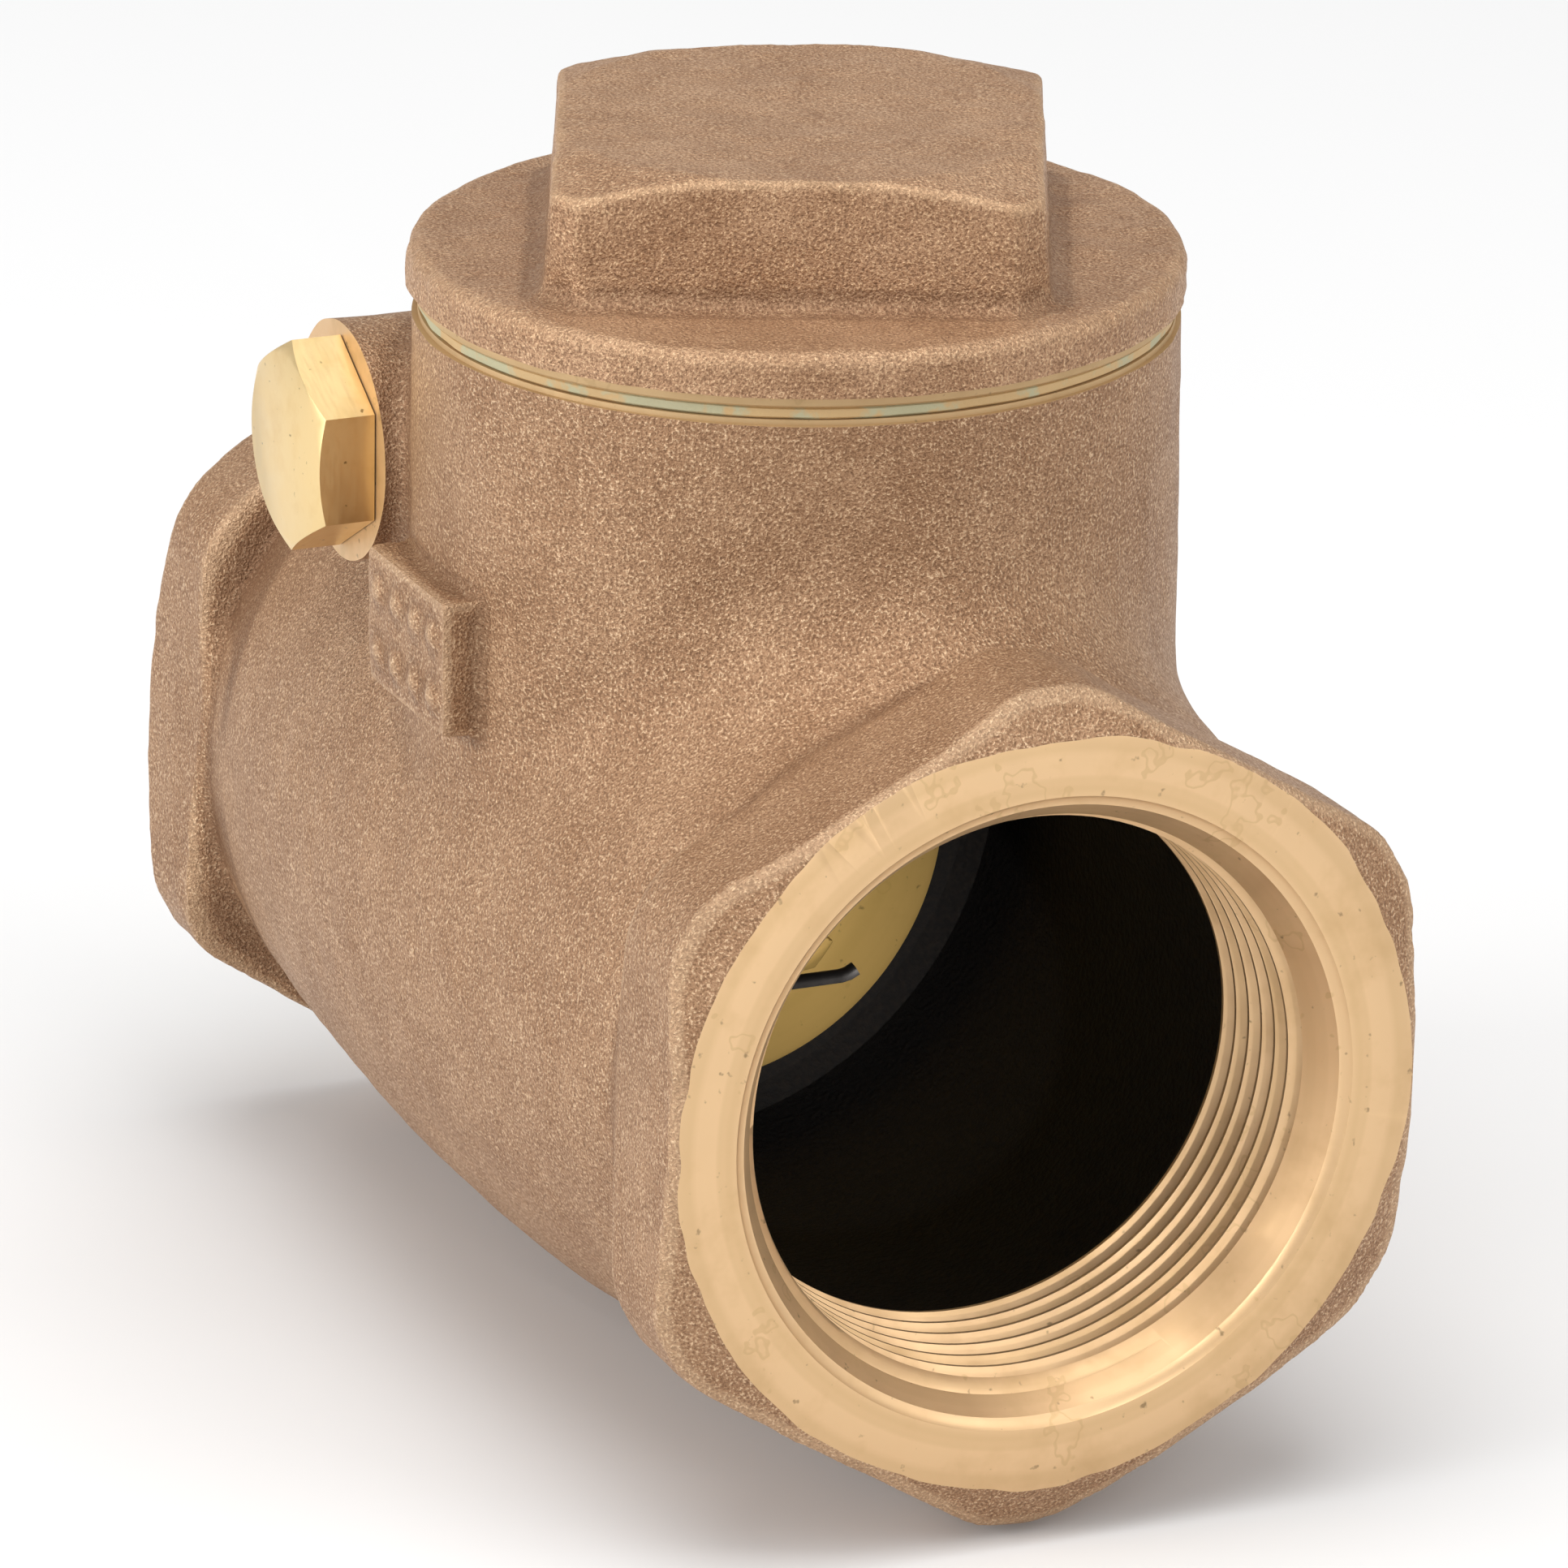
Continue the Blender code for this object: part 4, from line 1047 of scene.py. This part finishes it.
def make_ring(name, node, inner, edge, finish):
    """A flat ring on the disc's axis with rounded edges, as large as its CAD node."""
    low, high = cad_box(node)
    outer = high[1]
    ring = lathe(name, [
        (low[0], inner + edge, 0), (low[0], outer - edge, 0), (low[0] + edge, outer, 0),
        (high[0] - edge, outer, 0), (high[0], outer - edge, 0), (high[0], inner + edge, 0),
        (high[0] - edge, inner, 0), (low[0] + edge, inner, 0),
    ], DISC_AXIS, 96, ring=True)
    finish_piece(ring, [node], "disc", [finish])
    return ring


def make_nut(name, node, flats, bore, slot_depth=0.0):
    """A hexagon nut on the disc's axis, chamfered, with slots for a split pin if it has a slot depth."""
    low, high = cad_box(node)

    def field(x, y, z):
        up = z - DISC_Z
        radius = np.sqrt(y * y + up * up)
        prism = soft_max(polygon(y, up, 6, flats / 2, math.radians(30), 0.15), slab(x, low[0], high[0]), 0.2)
        cone = (radius - flats / 2 - 1.6 * (high[0] - x)) / math.sqrt(1 + 1.6 ** 2)
        whole = soft_max(soft_max(prism, cone, 0.15), bore - radius, 0.2)
        for turn in range(3 if slot_depth else 0):
            angle = math.radians(30 + 60 * turn)
            aside = np.abs(-y * math.sin(angle) + up * math.cos(angle))
            whole = soft_max(whole, np.minimum(1.1 - aside, x - (high[0] - slot_depth)), 0.12)
        return whole

    nut = skin(name, field, low - 1, high + 1, NUT_STEP)
    finish_piece(nut, [node], "disc", [DISC_BRASS], 28)
    return nut


def make_cotter():
    """A split pin of half-round wire: a bent leg below, an eye on top and a straight second leg."""
    radius = 0.68
    thickness = 0.98
    gap = 0.03
    foot = DISC_Z - 8.2
    bend = 1.2
    eye = 1.0
    eye_z = DISC_Z + 9.4
    path = [(7.7, foot + 0.55), (7.0, foot + 0.18), (6.2, foot + 0.02)]
    for step in range(7):
        angle = math.radians(90 - 15 * step)
        path.append((gap + bend * (1 - math.cos(angle)), foot + bend * (1 - math.sin(angle))))
    path.append((gap, DISC_Z))
    path.append((gap, eye_z - 1.9))
    for step in range(15):
        angle = math.radians(-66 + 22 * step)
        path.append((eye * math.cos(angle), eye_z + eye * math.sin(angle)))
    path.append((-gap, eye_z - 1.9))
    path.append((-gap, DISC_Z))
    path.append((-gap, DISC_Z - 7.4))
    path = np.array(path)
    run = np.gradient(path, axis=0)
    run /= np.linalg.norm(run, axis=1)[:, None]
    out = np.stack([run[:, 1], -run[:, 0]], axis=1)
    section = [(thickness * math.cos(a), radius * math.sin(a)) for a in np.linspace(-1.5, 1.5, 9)]
    points = []
    for place, side in zip(path, out):
        for depth, across in section:
            points.append((COTTER_X + across, place[0] + side[0] * depth, place[1] + side[1] * depth))
    size = len(section)
    faces = [[index for index in range(size)], [len(points) - size + index for index in range(size)]]
    for step in range(len(path) - 1):
        for index in range(size):
            after = (index + 1) % size
            faces.append([
                step * size + index, step * size + after,
                (step + 1) * size + after, (step + 1) * size + index])
    pin = add_object("split_pin", points, faces)
    tidy_normals(pin)
    finish_piece(pin, ["cotter_pin"], "disc", [DARK_STEEL], 50)
    return pin


# -------- stage

VIEW_AZIMUTH = math.radians(66.96)
VIEW_ELEVATION = math.radians(19.45)
VIEW_ROLL = math.radians(0.82)
VIEW_DISTANCE = 1.04609
VIEW_RIGHT = -0.00045
VIEW_UP = 0.00921
SENSOR = 36.0
LENS = 307.0
LIGHTS = (                      # name, azimuth, elevation, distance and side in metres, watts
    ("right", 128.0, 32.0, 1.2, 0.8, 4.0),
    ("left", -5.0, 18.0, 1.2, 0.9, 9.0),
    ("top", 60.0, 80.0, 1.3, 1.0, 11.0),
)
BEAM_AIM = (-17.0, 8.0, -12.0)  # the part of the disc that shows through the outlet
BEAM_SPREAD = 2.0
FLOOR_GAP = 0.0002              # metres between the valve and the floor
FLOOR_REACH = 4000.0
FLOOR_CELLS = 24


def direction(azimuth, elevation):
    """Unit vector towards a place at that azimuth from -Y round to +X, and that elevation."""
    flat = math.cos(elevation)
    return Vector((math.sin(azimuth) * flat, -math.cos(azimuth) * flat, math.sin(elevation)))


def make_camera():
    """The camera, beside the outlet and a little above it."""
    back = direction(VIEW_AZIMUTH, VIEW_ELEVATION)
    level = Vector((math.cos(VIEW_AZIMUTH), math.sin(VIEW_AZIMUTH), 0.0))
    above = back.cross(level)
    right = math.cos(VIEW_ROLL) * level + math.sin(VIEW_ROLL) * above
    up = math.cos(VIEW_ROLL) * above - math.sin(VIEW_ROLL) * level
    place = back * VIEW_DISTANCE + level * VIEW_RIGHT + above * VIEW_UP
    data = bpy.data.cameras.new("camera")
    data.sensor_width = SENSOR
    data.lens = LENS
    data.clip_start = 0.01
    camera = bpy.data.objects.new("camera", data)
    matrix = Matrix((right, up, back)).transposed().to_4x4()
    matrix.translation = place
    camera.matrix_world = matrix
    bpy.context.scene.collection.objects.link(camera)
    bpy.context.scene.camera = camera


def make_light(name, azimuth, elevation, distance, size, power):
    """A soft white square light that faces the valve."""
    data = bpy.data.lights.new(name, "AREA")
    data.shape = "SQUARE"
    data.size = size
    data.energy = power
    light = bpy.data.objects.new(name, data)
    towards = direction(math.radians(azimuth), math.radians(elevation))
    light.location = towards * distance
    light.rotation_euler = towards.to_track_quat("Z", "Y").to_euler()
    bpy.context.scene.collection.objects.link(light)


def make_beam(name, aim, azimuth, elevation, distance, spread, power):
    """A narrow soft light that looks through the outlet and lights only the disc behind it."""
    data = bpy.data.lights.new(name, "SPOT")
    data.energy = power
    data.spot_size = math.radians(spread)
    data.spot_blend = 0.3
    data.shadow_soft_size = 0.02
    light = bpy.data.objects.new(name, data)
    towards = direction(math.radians(azimuth), math.radians(elevation))
    light.location = Vector(aim) * MM + towards * distance
    light.rotation_euler = towards.to_track_quat("Z", "Y").to_euler()
    bpy.context.scene.collection.objects.link(light)


def make_stage():
    """A white world, a bare floor just under the valve, and the lights. The floor has no finish of its
    own, so it takes the renderer's plain pale surface."""
    world = bpy.data.worlds.new("studio")
    world.use_nodes = True
    background = world.node_tree.nodes["Background"]
    background.inputs["Color"].default_value = (1.0, 1.0, 1.0, 1.0)
    background.inputs["Strength"].default_value = 0.55
    bpy.context.scene.world = world
    bpy.context.scene.view_settings.view_transform = "Standard"
    ground = (cad_bounds[0][2] - FLOOR_GAP) / MM
    ticks = [FLOOR_REACH * (2 * tick / FLOOR_CELLS - 1) for tick in range(FLOOR_CELLS + 1)]
    points = [(across, along, ground) for along in ticks for across in ticks]
    faces = []
    for row in range(FLOOR_CELLS):
        for column in range(FLOOR_CELLS):
            corner = row * len(ticks) + column
            faces.append([corner, corner + 1, corner + len(ticks) + 1, corner + len(ticks)])
    add_object("floor", points, faces)
    for name, azimuth, elevation, distance, size, power in LIGHTS:
        make_light(name, azimuth, elevation, distance, size, power)
    make_beam("bore_light", BEAM_AIM, 84.0, 10.0, 1.2, BEAM_SPREAD, 50.0)


make_casting()
make_cap()
make_seal()
make_plug()
make_pin()
make_hanger()
make_disc()
make_ring("seat_ring", "seat_disc", STUD_HOLE, 0.25, POLYMER)
make_ring("retaining_ring", "disc_retainer", STUD_HOLE, 0.2, DISC_BRASS)
make_ring("stem_ring", "stem_washer", STEM_HOLE, 0.15, DISC_BRASS)
make_nut("seat_nut", "retainer_nut", 8.0, STUD_HOLE)
make_nut("slotted_nut", "castle_nut", 13.0, STEM_HOLE, 2.6)
make_cotter()
make_camera()
make_stage()
